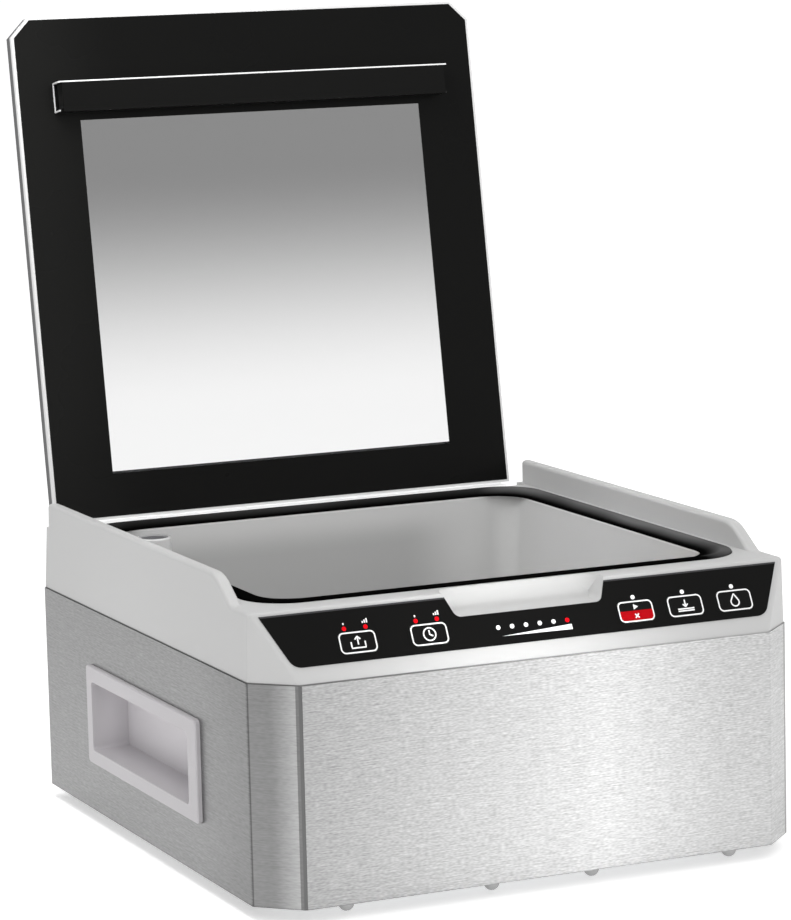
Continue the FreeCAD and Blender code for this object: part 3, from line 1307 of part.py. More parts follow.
def along_pump(x_range, radius):
    """Cylinder about the pump's axis."""
    return bar_along_x(x_range, PUMP_Y, PUMP_Z, radius)


def pump_motor_can():
    """Tube of the pump motor with the stator on its inside."""
    x_range = (-MOTOR_HALF_LENGTH, MOTOR_HALF_LENGTH)
    return along_pump(x_range, MOTOR_RADIUS).cut(along_pump(x_range, MOTOR_RADIUS - MOTOR_WALL))


def pump_crankcases():
    """Crankcases at both ends of the motor."""
    shaft_hole = along_pump((-FAR, FAR), SHAFT_RADIUS + RUNNING_FIT)
    inner_size = CRANKCASE_SIZE - 2 * CRANKCASE_WALL
    inner_corner = CRANKCASE_CORNER - CRANKCASE_WALL
    low = MOTOR_HALF_LENGTH
    high = low + CRANKCASE_LENGTH
    case = across(centred(PUMP_Y, PUMP_Z, CRANKCASE_SIZE, CRANKCASE_SIZE), CRANKCASE_CORNER, low, high)
    hollow = across(centred(PUMP_Y, PUMP_Z, inner_size, inner_size), inner_corner, low + CRANKCASE_WALL,
                    high - CRANKCASE_WALL)
    right = case.cut(hollow).cut(shaft_hole)
    return Part.makeCompound([mirrored(right), right])


def pump_heads():
    """Finned cylinder heads on the crankcases; the left one has the suction spigot."""
    low_z = PUMP_Z + CRANKCASE_SIZE / 2
    block = centred(SUCTION_X, PUMP_Y, HEAD_WIDTH, HEAD_DEPTH)
    head = upright(block, HEAD_CORNER, low_z, CHAMBER_UNDER_Z - HEAD_TOP_GAP)
    fin_z = [low_z + height for height in FIN_HEIGHTS]
    fins = []
    for index in range(FIN_COUNT):
        fin_y = PUMP_Y + (index - (FIN_COUNT - 1) / 2) * FIN_PITCH
        fins.append(upright(centred(SUCTION_X, fin_y, HEAD_WIDTH + 2 * FIN_REACH, FIN_GAUGE), 0, *fin_z))
    left = joined([head] + fins)
    spigot_y = (PUMP_Y, PUMP_Y + HEAD_DEPTH / 2 + BARB_LENGTH)
    spigot = bar_along_y(SUCTION_X, spigot_y, SUCTION_Z, SPIGOT_RADIUS)
    return Part.makeCompound([joined([left, spigot]), mirrored(left)])


def pump_bracket():
    """Folded foot under the motor."""
    half = MOTOR_HALF_LENGTH - BRACKET_INSET
    sheet = centred(0, PUMP_Y, 2 * half, 2 * BRACKET_HALF_DEPTH)
    block = centred(0, PUMP_Y, 2 * half, 2 * CRADLE_HALF_DEPTH)
    foot = upright(sheet, 0, BASE_TOP_Z, BASE_TOP_Z + BRACKET_GAUGE)
    cradle = upright(block, 0, BASE_TOP_Z, PUMP_Z - CRADLE_DROP)
    return joined([foot, cradle]).cut(along_pump((-FAR, FAR), MOTOR_RADIUS))


def pump_rotor():
    """Motor shaft with its rotor core and a counterweight in each crankcase."""
    reach = MOTOR_HALF_LENGTH + CRANKCASE_LENGTH
    core = MOTOR_HALF_LENGTH - ROTOR_INSET
    pieces = [along_pump((-reach - SHAFT_TAIL, reach - SHAFT_STOP), SHAFT_RADIUS),
              along_pump((-core, core), MOTOR_RADIUS - MOTOR_WALL - ROTOR_GAP)]
    for middle in (SUCTION_X, -SUCTION_X):
        x_range = (middle - WEIGHT_HALF_LENGTH, middle + WEIGHT_HALF_LENGTH)
        pieces.append(bar_along_x(x_range, PUMP_Y, PUMP_Z + WEIGHT_OFFSET, WEIGHT_RADIUS))
    return joined(pieces)


def pump_fan():
    """Fan on the left end of the shaft."""
    x_low = -(MOTOR_HALF_LENGTH + CRANKCASE_LENGTH) - FAN_SETBACK
    middle = V(x_low + BLADE_MIDDLE, PUMP_Y, PUMP_Z)
    blades = [along_pump((x_low, x_low + FAN_HUB_LENGTH), FAN_HUB_RADIUS)]
    for index in range(FAN_BLADES):
        root = centred(middle.x, PUMP_Y, BLADE_GAUGE, 2 * BLADE_HALF_WIDTH)
        blade = upright(root, 0, PUMP_Z + BLADE_ROOT, PUMP_Z + FAN_RADIUS)
        blade = blade.rotated(middle, V(0, 0, 1), BLADE_TWIST)
        blades.append(blade.rotated(middle, V(1, 0, 0), index * 360 / FAN_BLADES))
    return joined(blades).cut(along_pump((-FAR, FAR), SHAFT_RADIUS))


# Transformer and power board

def core_windows():
    """X ranges of the two windows in the transformer's core."""
    left, right = CORE_X
    return [(left + CORE_LEG, left + 2 * CORE_LEG), (right - 2 * CORE_LEG, right - CORE_LEG)]


def transformer_core():
    """Laminated core with two windows."""
    core = box(CORE_X, CORE_Y, (BASE_TOP_Z, BASE_TOP_Z + CORE_HEIGHT))
    window_z = (BASE_TOP_Z + CORE_LEG, BASE_TOP_Z + CORE_HEIGHT - CORE_LEG)
    for x_range in core_windows():
        core = core.cut(box(x_range, (0, FAR), window_z))
    return core


def transformer_coil():
    """Coil round the core's middle leg."""
    left, right = core_windows()
    x_range = (left[0] + COIL_MARGIN, right[1] - COIL_MARGIN)
    y_range = (CORE_Y[0] - COIL_OVERHANG, CORE_Y[1] + COIL_OVERHANG)
    low_z = BASE_TOP_Z + CORE_LEG + COIL_MARGIN
    high_z = BASE_TOP_Z + CORE_HEIGHT - CORE_LEG - COIL_MARGIN
    coil = upright(rectangle(x_range, y_range), COIL_CORNER, low_z, high_z)
    return coil.cut(box((left[1], right[0]), CORE_Y, (0, FAR)))


def power_board():
    """Power board on standoffs."""
    low_z = BASE_TOP_Z + STANDOFF_HEIGHT
    return upright(rectangle(BOARD_X, BOARD_Y), POWER_BOARD_CORNER, low_z, BOARD_TOP_Z)


def board_standoffs():
    """Pillars under the power board's corners."""
    places = [(x, y) for x in (BOARD_X[0] + STANDOFF_INSET, BOARD_X[1] - STANDOFF_INSET)
              for y in (BOARD_Y[0] + STANDOFF_INSET, BOARD_Y[1] - STANDOFF_INSET)]
    z_range = (BASE_TOP_Z, BASE_TOP_Z + STANDOFF_HEIGHT)
    return Part.makeCompound([round_bar(x, y, z_range, STANDOFF_RADIUS) for x, y in places])


def heat_sink():
    """Finned heat sink on the power board."""
    pitch = (SINK_X[1] - SINK_X[0] - FIN_GAUGE) / (SINK_FINS - 1)
    pieces = [box(SINK_X, SINK_Y, (BOARD_TOP_Z, BOARD_TOP_Z + SINK_FOOT))]
    for index in range(SINK_FINS):
        fin_x = SINK_X[0] + index * pitch
        pieces.append(box((fin_x, fin_x + FIN_GAUGE), SINK_Y, (BOARD_TOP_Z, BOARD_TOP_Z + SINK_HEIGHT)))
    return joined(pieces)


def board_components():
    """Capacitors, relays, heat sink and terminal block on the power board."""
    low = BOARD_TOP_Z
    can_z = (low, low + CAPACITOR_HEIGHT)
    pieces = [round_bar(CAPACITOR_X, y, can_z, CAPACITOR_RADIUS) for y in CAPACITORS_Y]
    pieces += [box(RELAY_X, (y, y + RELAY_DEPTH), (low, low + RELAY_HEIGHT)) for y in RELAYS_Y]
    pieces += [heat_sink(), box(TERMINAL_X, TERMINAL_Y, (low, low + TERMINAL_HEIGHT))]
    return Part.makeCompound(pieces)


# Valves and hoses

def vent_valve():
    """Solenoid valve that lets air back into the chamber."""
    body_top = VENT_HOSE_Z + VALVE_CAP
    block = centred(VENT_VALVE_X, VENT_NOZZLE_Y, VALVE_SIZE, VALVE_SIZE)
    body = upright(block, VALVE_CORNER, BASE_TOP_Z, body_top)
    coil_z = (body_top, body_top + VALVE_COIL_HEIGHT)
    coil = round_bar(VENT_VALVE_X, VENT_NOZZLE_Y, coil_z, VALVE_COIL_RADIUS)
    barb_x = (VENT_VALVE_X, VENT_VALVE_X + VALVE_SIZE / 2 + BARB_LENGTH)
    return joined([body, coil, bar_along_x(barb_x, VENT_NOZZLE_Y, VENT_HOSE_Z, SPIGOT_RADIUS)])


def seal_valve():
    """Solenoid valve that feeds the seal cylinders."""
    block = centred(0, SEAL_VALVE_Y, VALVE_SIZE, VALVE_SIZE)
    body = upright(block, VALVE_CORNER, BASE_TOP_Z, SEAL_HOSE_Z + VALVE_CAP)
    barb_y = (SEAL_VALVE_Y - VALVE_SIZE / 2 - BARB_LENGTH, SEAL_VALVE_Y)
    return joined([body, bar_along_y(0, barb_y, SEAL_HOSE_Z, SPIGOT_RADIUS)])


def suction_hose():
    """Hose from the suction post to the pump."""
    route = [(POST_X, POST_Y, CHAMBER_UNDER_Z), (POST_X, POST_Y, SUCTION_Z), (SUCTION_X, POST_Y, SUCTION_Z),
             (SUCTION_X, PUMP_Y + HEAD_DEPTH / 2, SUCTION_Z)]
    return hose(route, HOSE_RADIUS, SPIGOT_RADIUS)


def vent_hose():
    """Hose from the vent valve to the nozzle in the tub's floor."""
    route = [(VENT_VALVE_X + VALVE_SIZE / 2, VENT_NOZZLE_Y, VENT_HOSE_Z),
             (VENT_NOZZLE_X, VENT_NOZZLE_Y, VENT_HOSE_Z), (VENT_NOZZLE_X, VENT_NOZZLE_Y, CHAMBER_UNDER_Z)]
    return hose(route, HOSE_RADIUS, SPIGOT_RADIUS)


def seal_hose():
    """Tee hose from the seal valve to both seal cylinders."""
    reach = ROD_X - PISTON_RADIUS - CYLINDER_WALL
    valve_face_y = SEAL_VALVE_Y - VALVE_SIZE / 2
    run = bar_along_x((-reach, reach), BAR_MIDDLE_Y, SEAL_HOSE_Z, HOSE_RADIUS)
    branch = bar_along_y(0, (BAR_MIDDLE_Y, valve_face_y), SEAL_HOSE_Z, HOSE_RADIUS)
    run_bore = bar_along_x((-FAR, FAR), BAR_MIDDLE_Y, SEAL_HOSE_Z, SPIGOT_RADIUS)
    branch_bore = bar_along_y(0, (BAR_MIDDLE_Y, FAR), SEAL_HOSE_Z, SPIGOT_RADIUS)
    return joined([run, branch]).cut(run_bore).cut(branch_bore)


# All nodes

def nodes():
    """Every node's name and solid, about the middle of the footprint."""
    red, white = dot_places()
    left_cup = handle_cup()
    screw_z = (LID_SEAT_Z - 1, LID_SEAT_Z + SCREW_REACH)
    border = drilled_up(lid_border(), press_screw_places(), screw_z)
    pane = drilled_up(lid_pane(), press_screw_places(), screw_z).cut(lid_magnet())
    fixed = {
        "base_plate": base_plate(), "rubber_feet": rubber_feet(), "base_screws": base_screws(),
        "body_wrap": body_wrap(), "rear_panel": rear_panel(), "rear_screws": rear_screws(),
        "left_handle_cup": left_cup, "right_handle_cup": mirrored(left_cup),
        "deck": deck(), "vacuum_chamber": vacuum_chamber(), "chamber_gasket": chamber_gasket(),
        "suction_post": suction_post(), "suction_filter": suction_filter(),
        "control_overlay": control_overlay(), "control_board": control_board(),
        "tact_switches": tact_switches(),
        "indicator_lights_red": dots(red), "indicator_lights_white": dots(white),
        "power_inlet": power_inlet(), "inlet_pins": inlet_pins(), "rocker_frame": rocker_frame(),
        "power_rocker": power_rocker(), "hinge_deck_leaf": hinge_deck_leaf(), "hinge_pin": hinge_pin(),
        "lid_sensor": lid_sensor(), "seal_cylinders": seal_cylinders(),
        "seal_bar_base": seal_bar_base(), "heater_strip": heater_strip(),
        "seal_cover_tape": seal_cover_tape(),
        "lift_rods": lift_rods(), "pump_motor_can": pump_motor_can(), "pump_crankcases": pump_crankcases(),
        "pump_heads": pump_heads(), "pump_bracket": pump_bracket(), "pump_rotor": pump_rotor(),
        "pump_fan": pump_fan(), "transformer_core": transformer_core(),
        "transformer_coil": transformer_coil(), "power_board": power_board(),
        "board_standoffs": board_standoffs(), "board_components": board_components(),
        "vent_valve": vent_valve(), "seal_valve": seal_valve(), "suction_hose": suction_hose(),
        "vent_hose": vent_hose(), "seal_hose": seal_hose(),
    }
    lid = {
        "lid_border": border, "lid_pane": pane, "lid_edge_band": lid_edge_band(),
        "lid_back_frame": lid_back_frame(), "hinge_lid_leaf": hinge_lid_leaf(),
        "press_bar_channel": press_bar_channel(), "press_bar_pad": press_bar_pad(),
        "press_bar_screws": press_bar_screws(), "lid_magnet": lid_magnet(),
    }
    fixed.update({name: key(x) for name, x in KEYS_X.items()})
    fixed.update({name: opened(shape) for name, shape in lid.items()})
    return fixed


def main():
    """Write every node to its own file, moved so that the origin lies under the middle of the whole box."""
    os.makedirs("parts", exist_ok=True)
    for name, shape in nodes().items():
        placed = shape.translated(V(0, -ORIGIN_Y, 0))
        assert placed.isValid(), name
        placed.exportStep("parts/%s.step" % name)
        print("%-24s solids %d volume %.0f" % (name, len(placed.Solids), placed.Volume))


main()
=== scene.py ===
import json
import math

import bmesh
import bpy
import numpy as np
from mathutils import Matrix, Vector


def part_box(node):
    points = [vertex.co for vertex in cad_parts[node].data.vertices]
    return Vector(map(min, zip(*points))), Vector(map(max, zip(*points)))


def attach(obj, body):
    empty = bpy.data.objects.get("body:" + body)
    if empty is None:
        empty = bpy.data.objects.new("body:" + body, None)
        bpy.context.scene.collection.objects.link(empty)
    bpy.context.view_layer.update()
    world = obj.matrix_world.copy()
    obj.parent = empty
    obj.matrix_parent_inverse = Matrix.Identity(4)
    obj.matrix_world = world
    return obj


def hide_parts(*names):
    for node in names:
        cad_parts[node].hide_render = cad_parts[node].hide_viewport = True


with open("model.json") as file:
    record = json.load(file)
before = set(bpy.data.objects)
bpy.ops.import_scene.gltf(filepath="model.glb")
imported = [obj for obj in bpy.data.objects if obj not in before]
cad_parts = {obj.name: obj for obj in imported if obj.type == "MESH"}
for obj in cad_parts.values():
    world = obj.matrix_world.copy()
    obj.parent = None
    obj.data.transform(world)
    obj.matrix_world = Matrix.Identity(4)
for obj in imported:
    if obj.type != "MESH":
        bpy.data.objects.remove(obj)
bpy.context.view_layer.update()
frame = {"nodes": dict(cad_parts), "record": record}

bl_info = {
    "name": "Chamber vacuum sealer",
    "version": (1, 0, 0),
    "blender": (4, 5, 0),
    "location": "View3D > Sidebar > Sealer",
    "description": "Finishes, printed marks, gasket and studio for a bench vacuum sealer",
    "category": "Object",
}

RECORD = frame["record"]
JOINTS = {joint["name"]: joint for joint in RECORD["behaviour"]["joints"]}
RECORD_COLOURS = {entry["slot"]: tuple(entry["base_color"][:3]) for entry in RECORD["materials"]}
RECORD_CLASSES = {entry["slot"]: entry["class"] for entry in RECORD["materials"]}
MILLIMETRE = 0.001
WHITE = (1.0, 1.0, 1.0)
CORNER_SIGNS = np.array(((1, 1), (-1, 1), (-1, -1), (1, -1)))

# Grain: how far each set of streaks is drawn out and its weight, then scales and spreads of the finishes
STREAK_SETS = ((1.0, 0.46), (0.28, 0.36), (0.09, 0.18))
STREAK_STRETCH = (120.0, 120.0, 1500.0)
STREAK_TONES = (-0.6, 1.6)
STREAK_ROUGHNESS = 0.08
STREAK_BUMP = 0.12
GRAIN_FINE = 2200.0
GRAIN_FINE_DETAIL = 2.0
GRAIN_BROAD = 14.0
GRAIN_BROAD_DETAIL = 3.0
GRAIN_ROUGHNESS = 0.06
BUMP_DEPTH = 0.0002

# Steel wrap: its grain, its tone by place across the front (painted light: a painted highlight band, painted
# shade on the sides), painted shade along its foot and bends, and painted shade on its left side
STEEL_GRAIN = (400.0, 200.0, 1500.0)
STEEL_CONTRAST = 0.29
QUIET_SHARE = 0.5
# Painted light: tone of the steel by place across the front, a painted highlight band in the middle and
# painted shade on the sides.
STEEL_PAINTED_TONES = ((-0.170, 0.30), (-0.160, 0.29), (-0.150, 0.50), (-0.1445, 0.48), (-0.030, 0.72),
               (0.040, 0.88), (0.115, 0.66), (0.145, 0.63), (0.149, 0.585), (0.170, 0.57))
# Painted shade along the foot edge and in narrow lines on the bends: its strength, the foot band's width and
# the lines.
EDGE_PAINTED_SHADE = 0.55
EDGE_WIDTH = 0.0008
BEND_SHADE_LINES = ((-0.1697, -0.1693), (0.1670, 0.1698))
BEND_SOFT = 0.0001
FRONT_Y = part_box("body_wrap")[0][1]
BEND_X = -0.147
SIDE_X = -0.1695
# Painted shade on the left side, deepest at the front and fading over the reach below.
SIDE_PAINTED_SHADE = 0.76
SIDE_FADE = 0.12

# Seam at the left front bend: the way along the slanted corner, the strip's section as distances along
# that way and out of it, and its two tones, both painted shade
CHAMFER_RUN = np.array((-0.023, 0.022))
CHAMFER_WAY = CHAMFER_RUN / np.linalg.norm(CHAMFER_RUN)
SEAM_WIDTH = 0.0030
SEAM_RIDGE = 0.45 * SEAM_WIDTH
SEAM_INSET = 0.0002
SEAM_START = -0.0008
SEAM_SECTION = np.array(((SEAM_WIDTH, -0.0003), (SEAM_WIDTH, 0.00012), (SEAM_RIDGE, 0.00030),
                         (SEAM_START, 0.00012), (SEAM_START, -0.0006)))
SEAM_CONTRAST = 0.12
SEAM_PAINTED_SHADE = 0.245
SEAM_FRONT_PAINTED_SHADE = 0.19

# Deck: painted shade in the joint above the steel, as heights about the steel's top edge
JOINT_BAND = (-0.001, 0.0004)
JOINT_SOFT = 0.0005
JOINT_PAINTED_SHADE = 0.85
JOINT_FRONT_PAINTED_SHADE = 0.3

# Chamber: stretches from its rear, top and right edges over which the rear wall takes painted shade, and its
# painted highlight along the rim
TUB_REAR = (0.040, 0.034)
TUB_DEEP = (0.003, 0.026)
TUB_RIGHT = (0.045, 0.095)
TUB_PAINTED_SHADE = 0.69
# Painted highlight along the rim: its band below the top edge and its strength.
TUB_RIM = (0.0024, 0.0016)
TUB_RIM_HIGHLIGHT = 1.35

# Handle cups: where their frame starts, as a share of their reach, and its tone
CUP_FRAME_FROM = 0.92
CUP_FRAME_SHADE = 0.76

# Lid as it stands open: the way up along it, the way out of its underside, and the bands on its pieces,
# among them painted shadow on the press bar, painted sheen on the border and painted shade in the pane
LID_LEAN = math.radians(JOINTS["lid_hinge"]["range_deg"][1]) - math.pi / 2
LID_UP = (0.0, math.sin(LID_LEAN), math.cos(LID_LEAN))
LID_OUT = (0.0, -math.cos(LID_LEAN), math.sin(LID_LEAN))
BAR_GAUGE = 0.0011
BAR_LINE = (0.66 * BAR_GAUGE, 0.86 * BAR_GAUGE)
BAR_END = (0.3 * BAR_GAUGE, 0.7 * BAR_GAUGE)
BAR_PROUD = 0.0125
# Painted shadow on the press bar below its top flange.
BAR_PAINTED_SHADOW = (0.006, 0.006, 0.006)
BAND_DEPTH = 0.0053
BAND_OUTER = (0.4 * BAND_DEPTH, 0.32 * BAND_DEPTH)
BAND_SIDE = (0.95, 0.99)
# Painted sheen on the lid border towards its left edge: its reach and strength.
BORDER_SHEEN_REACH = 0.075
BORDER_PAINTED_SHEEN = 2.1
# Painted shade in the pane: where its grey towards the front edge starts and ends, as shares of its height.
PANE_SHADE_SPAN = (0.20, 0.69)

# Panel: the painted highlight of its fold below the top edge, the keys, and the ways down along its slope
# and out of it
FOLD_HIGHLIGHT_BAND = (0.0011, 0.0006)
FOLD_HIGHLIGHT_COLOUR = (0.05, 0.05, 0.052)
START_KEY = "start_cancel_button"
LEVEL_KEYS = ("vacuum_level_button", "seal_time_button")
KEYS = (*LEVEL_KEYS, START_KEY, "seal_now_button", "marinate_button")
SLOPE_OUT = -np.array(JOINTS[START_KEY + "_press"]["axis"])
SLOPE_DOWN = np.array((0.0, -SLOPE_OUT[2], SLOPE_OUT[1]))
SLOPE_AXES = np.array(((1.0, 0.0, 0.0), SLOPE_DOWN, SLOPE_OUT))

# Print: its heights on the keys, the keys' outline, and the red half of the start key
CAP_FACE = 0.0003
PRINT_SINK = 0.00005
STROKE_LIFT = 0.00006
RED_LIFT = 0.00002
KEY_HALF_SIZE = np.array((0.0111, 0.0062))
KEY_CORNER = 0.0027
RED_CORNER = 0.0022
RED_TOP = -0.0004
RED_INK_SHADE = 0.62

# Signs in millimetres: the start key's triangle, the wedge below the progress lights, and the rising bars
# with their number to the left and right of each level key's middle
START_SIGN = np.array(((-1.1, -4.3), (1.9, -2.7), (-1.1, -1.1)))
WEDGE_SIGN = np.array(((-20.1, 5.8), (23.8, 3.1), (23.8, 6.2)))
RISER_PITCH = 1.3
RISER_WIDTH = 0.8
RISER_FIRST = 1.1
RISER_STEP = 0.7
RISER_PLACES = ((-6.5, 1), (6.5, 3))
RISER_FOOT = -10.8

# Gasket: flat land, hollow slope down to the chamber's mouth, and slow waves as size, count and start
GASKET_STRIP = 0.012
GASKET_LAND = 0.0046
GASKET_RISE = 0.0014
GASKET_EDGE = 0.001
GASKET_CORNER = 0.028
GASKET_MOUTH_CORNER = 0.027
GASKET_HOOD = 0.0019
GASKET_HOOD_FOOT = 0.0004
GASKET_EDGE_STEPS = 6
GASKET_SLOPE_STEPS = 12
GASKET_TURN_STEPS = 16
GASKET_RUN_STEPS = 40
GASKET_HOLLOW_POWER = 0.8
GASKET_WAVES = ((0.22, 7, 0.0), (0.12, 19, 1.0))
GASKET_SHADE = 0.5
# Grey on the gasket, part dust and part painted sheen: how it fades down the slope, its share on the rear
# run and the name it is kept under.
DUST_AND_SHEEN_FADE = 1.8
DUST_AND_SHEEN_REAR_SHARE = 0.2
DUST_AND_SHEEN_NAME = "dusty"

# Studio: place, target, size, power and spread in degrees of each lamp, then floor, surround and camera
LAMPS = (
    ("front_lamp", (-0.5, -2.2, 1.0), (0.0, -0.2, 0.14), 1.2, 12.0, 180.0),
    ("top_lamp", (-0.2, 0.0, 2.6), (0.0, 0.0, 0.1), 2.2, 3.2, 180.0),
    ("left_lamp", (-2.0, 0.3, 1.2), (0.0, 0.0, 0.15), 1.2, 2.0, 180.0),
    ("over_lamp", (-0.25, 0.0, 0.75), (0.16, 0.0, 0.17), 0.3, 2.3, 180.0),
    ("strip_lamp", (-0.01, -0.75, 0.07), (-0.012, -0.21, 0.138), 0.08, 0.06, 24.0),
    ("wing_lamp", (-0.5, -0.1, 0.55), (0.165, -0.03, 0.18), 0.12, 0.027, 26.0),
    ("cup_lamp", (-0.55, 0.12, 0.04), (-0.16, 0.0, 0.07), 0.1, 0.008, 36.0),
)
FLOOR_REACH = 60.0
FLOOR_LINES = 5
BRIGHT_SIDE = (0.72, -0.38, 0.58)
SENSOR_WIDTH = 36.0
VIEW_REACH = 100.0


# Settings

def colour_setting(name, description, default):
    """Colour that a user may change."""
    return bpy.props.FloatVectorProperty(
        name=name, description=description, subtype="COLOR", size=3, min=0, max=1, default=default)


class SealerFinish(bpy.types.PropertyGroup):
    """Colours of the finishes that show."""

    steel: colour_setting("Steel", "Brushed steel of the wrap", (0.80, 0.80, 0.80))
    deck: colour_setting("Deck", "Pale grey plastic of the deck", (0.475, 0.475, 0.473))
    tub: colour_setting("Tub", "Inside of the chamber", (0.505, 0.505, 0.502))
    cup: colour_setting("Handle cups", "Off-white plastic of the handle cups", (0.58, 0.56, 0.58))
    # Grey of dust and painted sheen on the gasket's land and slope.
    dust_and_sheen: colour_setting("Gasket dust", "Grey on the gasket's land and slope", (0.11, 0.11, 0.11))
    band: colour_setting("Lid band", "White band round the lid", (0.62, 0.62, 0.62))
    outer_frame: colour_setting("Lid frame", "Dark frame on the lid's outer face", (0.07, 0.071, 0.073))
    channel: colour_setting("Press bar", "Bright channel of the press bar", (0.93, 0.93, 0.93))
    hinge: colour_setting("Hinge", "Bright rolled sheet of the hinge", (0.96, 0.96, 0.96))
    screw: colour_setting("Screws", "Dull plating of the screws", (0.38, 0.38, 0.38))
    post: colour_setting("Suction post", "Pale turned metal of the suction post", (0.66, 0.66, 0.66))
    black: colour_setting("Black", "Panel film, lid border and keys", (0.0036, 0.0036, 0.0034))
    mark: colour_setting("Marks", "White print on the panel", (0.86, 0.86, 0.86))
    red: colour_setting("Red", "Red print and red lights", (0.60, 0.003, 0.008))
    # Grey at the pane's front edge is painted shade.
    pane_top_shade: colour_setting("Pane, front edge", "Tint of the pane at its front edge", (0.236, 0.236, 0.236))
    pane_foot: colour_setting("Pane, hinge edge", "Tint of the pane at its hinge edge", (0.81, 0.81, 0.81))


class SealerSizes(bpy.types.PropertyGroup):
    """Sizes of the pieces that are added to the solids."""

    line: bpy.props.FloatProperty(
        name="Line width", description="Width of the printed lines", unit="LENGTH", default=0.00078)
    print_height: bpy.props.FloatProperty(
        name="Print height", description="How far the print stands out", unit="LENGTH", default=0.00012)
    gasket_sag: bpy.props.FloatProperty(
        name="Gasket sag", description="Depth of the hollow in the gasket's slope", unit="LENGTH",
        default=0.0007)


class SealerStage(bpy.types.PropertyGroup):
    """Camera and light of the studio."""

    lens: bpy.props.FloatProperty(
        name="Lens", description="Focal length", subtype="DISTANCE_CAMERA", default=150.22)
    place: bpy.props.FloatVectorProperty(
        name="Camera", description="Place of the camera", subtype="TRANSLATION", size=3,
        default=(-0.9344, -2.11305, 0.5702))
    yaw: bpy.props.FloatProperty(
        name="Yaw", description="Turn of the view to the right of +Y", subtype="ANGLE",
        default=math.radians(24.06))
    pitch: bpy.props.FloatProperty(
        name="Pitch", description="Tilt of the view below level", subtype="ANGLE",
        default=math.radians(8.64))
    roll: bpy.props.FloatProperty(
        name="Roll", description="Turn of the camera about its view", subtype="ANGLE",
        default=math.radians(-1.37))
    floor: colour_setting("Floor", "Colour of the floor", (0.88, 0.88, 0.88))
    floor_glow: bpy.props.FloatProperty(
        name="Floor glow", description="Light that the floor gives off itself", subtype="FACTOR",
        default=0.45)
    bright: bpy.props.FloatProperty(
        name="Bright side", description="Strength of the surround on its bright side", subtype="FACTOR",
        default=1.0)
    dim: bpy.props.FloatProperty(
        name="Dim side", description="Strength of the surround on its dim side", subtype="FACTOR",
        default=0.1)


# Meshes

def grid_faces(rows, columns, close_rows, close_columns):
    """Four-sided faces of a grid of points, joined to itself where it is closed."""
    row = np.arange(rows if close_rows else rows - 1)[:, None]
    column = np.arange(columns if close_columns else columns - 1)[None, :]
    next_row = (row + 1) % rows
    next_column = (column + 1) % columns
    corners = (row * columns + column, row * columns + next_column,
               next_row * columns + next_column, next_row * columns + column)
    return np.stack(np.broadcast_arrays(*corners), axis=-1).reshape(-1, 4).tolist()


def add_piece(name, points, faces, material, body, smooth=False):
    """Closed mesh from an array of points, its faces turned outwards, riding on a body."""
    mesh = bpy.data.meshes.new(name)
    mesh.from_pydata(np.asarray(points).reshape(-1, 3).tolist(), [], faces)
    shell = bmesh.new()
    shell.from_mesh(mesh)
    bmesh.ops.recalc_face_normals(shell, faces=shell.faces)
    shell.to_mesh(mesh)
    shell.free()
    mesh.polygons.foreach_set("use_smooth", np.full(len(mesh.polygons), smooth))
    mesh.materials.append(material)
    piece = bpy.data.objects.new(name, mesh)
    bpy.context.scene.collection.objects.link(piece)
    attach(piece, body)
    return piece


def key_place(key):
    """Middle of a key on the panel's face, in metres."""
    return np.array(JOINTS[key + "_press"]["pos_m"])


def add_print(name, parts, anchor, ink, body):
    """Print on the sloping panel, joined from its parts in one piece.

    Each point goes from the anchor by its x to the right, y down the slope and height out of it.
    """
    points = np.concatenate([part_points for part_points, _ in parts])
    faces = []
    start = 0
    for part_points, part_faces in parts:
        faces += [[start + index for index in face] for face in part_faces]
        start += len(part_points)
    add_piece(name, anchor + points @ SLOPE_AXES, faces, MATERIALS[ink], body)


def ribbon(path, width, low, high, closed):
    """Flat bar along a flat path: half the width to each side of it along its normal, at two heights."""
    path = np.asarray(path, dtype=float)
    if closed:
        along = np.roll(path, -1, axis=0) - np.roll(path, 1, axis=0)
    else:
        along = np.gradient(path, axis=0)
    along /= np.linalg.norm(along, axis=1, keepdims=True)
    across = np.stack((-along[:, 1], along[:, 0]), axis=1) * width / 2
    sides = np.stack((path + across, path + across, path - across, path - across), axis=1)
    heights = np.broadcast_to((low, high, high, low), sides.shape[:2])[..., None]
    count = len(path)
    faces = grid_faces(count, 4, closed, True)
    if not closed:
        faces += [[3, 2, 1, 0], [4 * count - 4, 4 * count - 3, 4 * count - 2, 4 * count - 1]]
    return np.concatenate((sides, heights), axis=2).reshape(-1, 3), faces


def plate(rim, low, high):
    """Flat plate inside a closed rim: the rim at two heights, a wall between them and a face at each end."""
    rim = np.asarray(rim, dtype=float)
    count = len(rim)
    points = np.concatenate([np.column_stack((rim, np.full(count, height))) for height in (low, high)])
    faces = grid_faces(2, count, False, True)
    faces += [list(range(count)), list(range(count, 2 * count))]
    return points, faces


def rounded_rectangle(half_size, radius, steps=8):
    """Closed path round a rectangle: a quarter circle about each corner's centre and straight sides."""
    angles = (np.arange(4)[:, None] + np.linspace(0, 1, steps)[None, :]) * math.pi / 2
    centres = CORNER_SIGNS[:, None, :] * (half_size - radius)
    ring = centres + radius * np.stack((np.cos(angles), np.sin(angles)), axis=-1)
    return ring.reshape(-1, 2)


def line(*corners, steps=4):
    """Path through corners in millimetres, with points along each run so that its bars keep their width."""
    corners = np.array(corners, dtype=float) * MILLIMETRE
    shares = np.linspace(0, 1, steps, endpoint=False)[:, None]
    runs = [start + (end - start) * shares for start, end in zip(corners[:-1], corners[1:])]
    return np.concatenate(runs + [corners[-1:]])


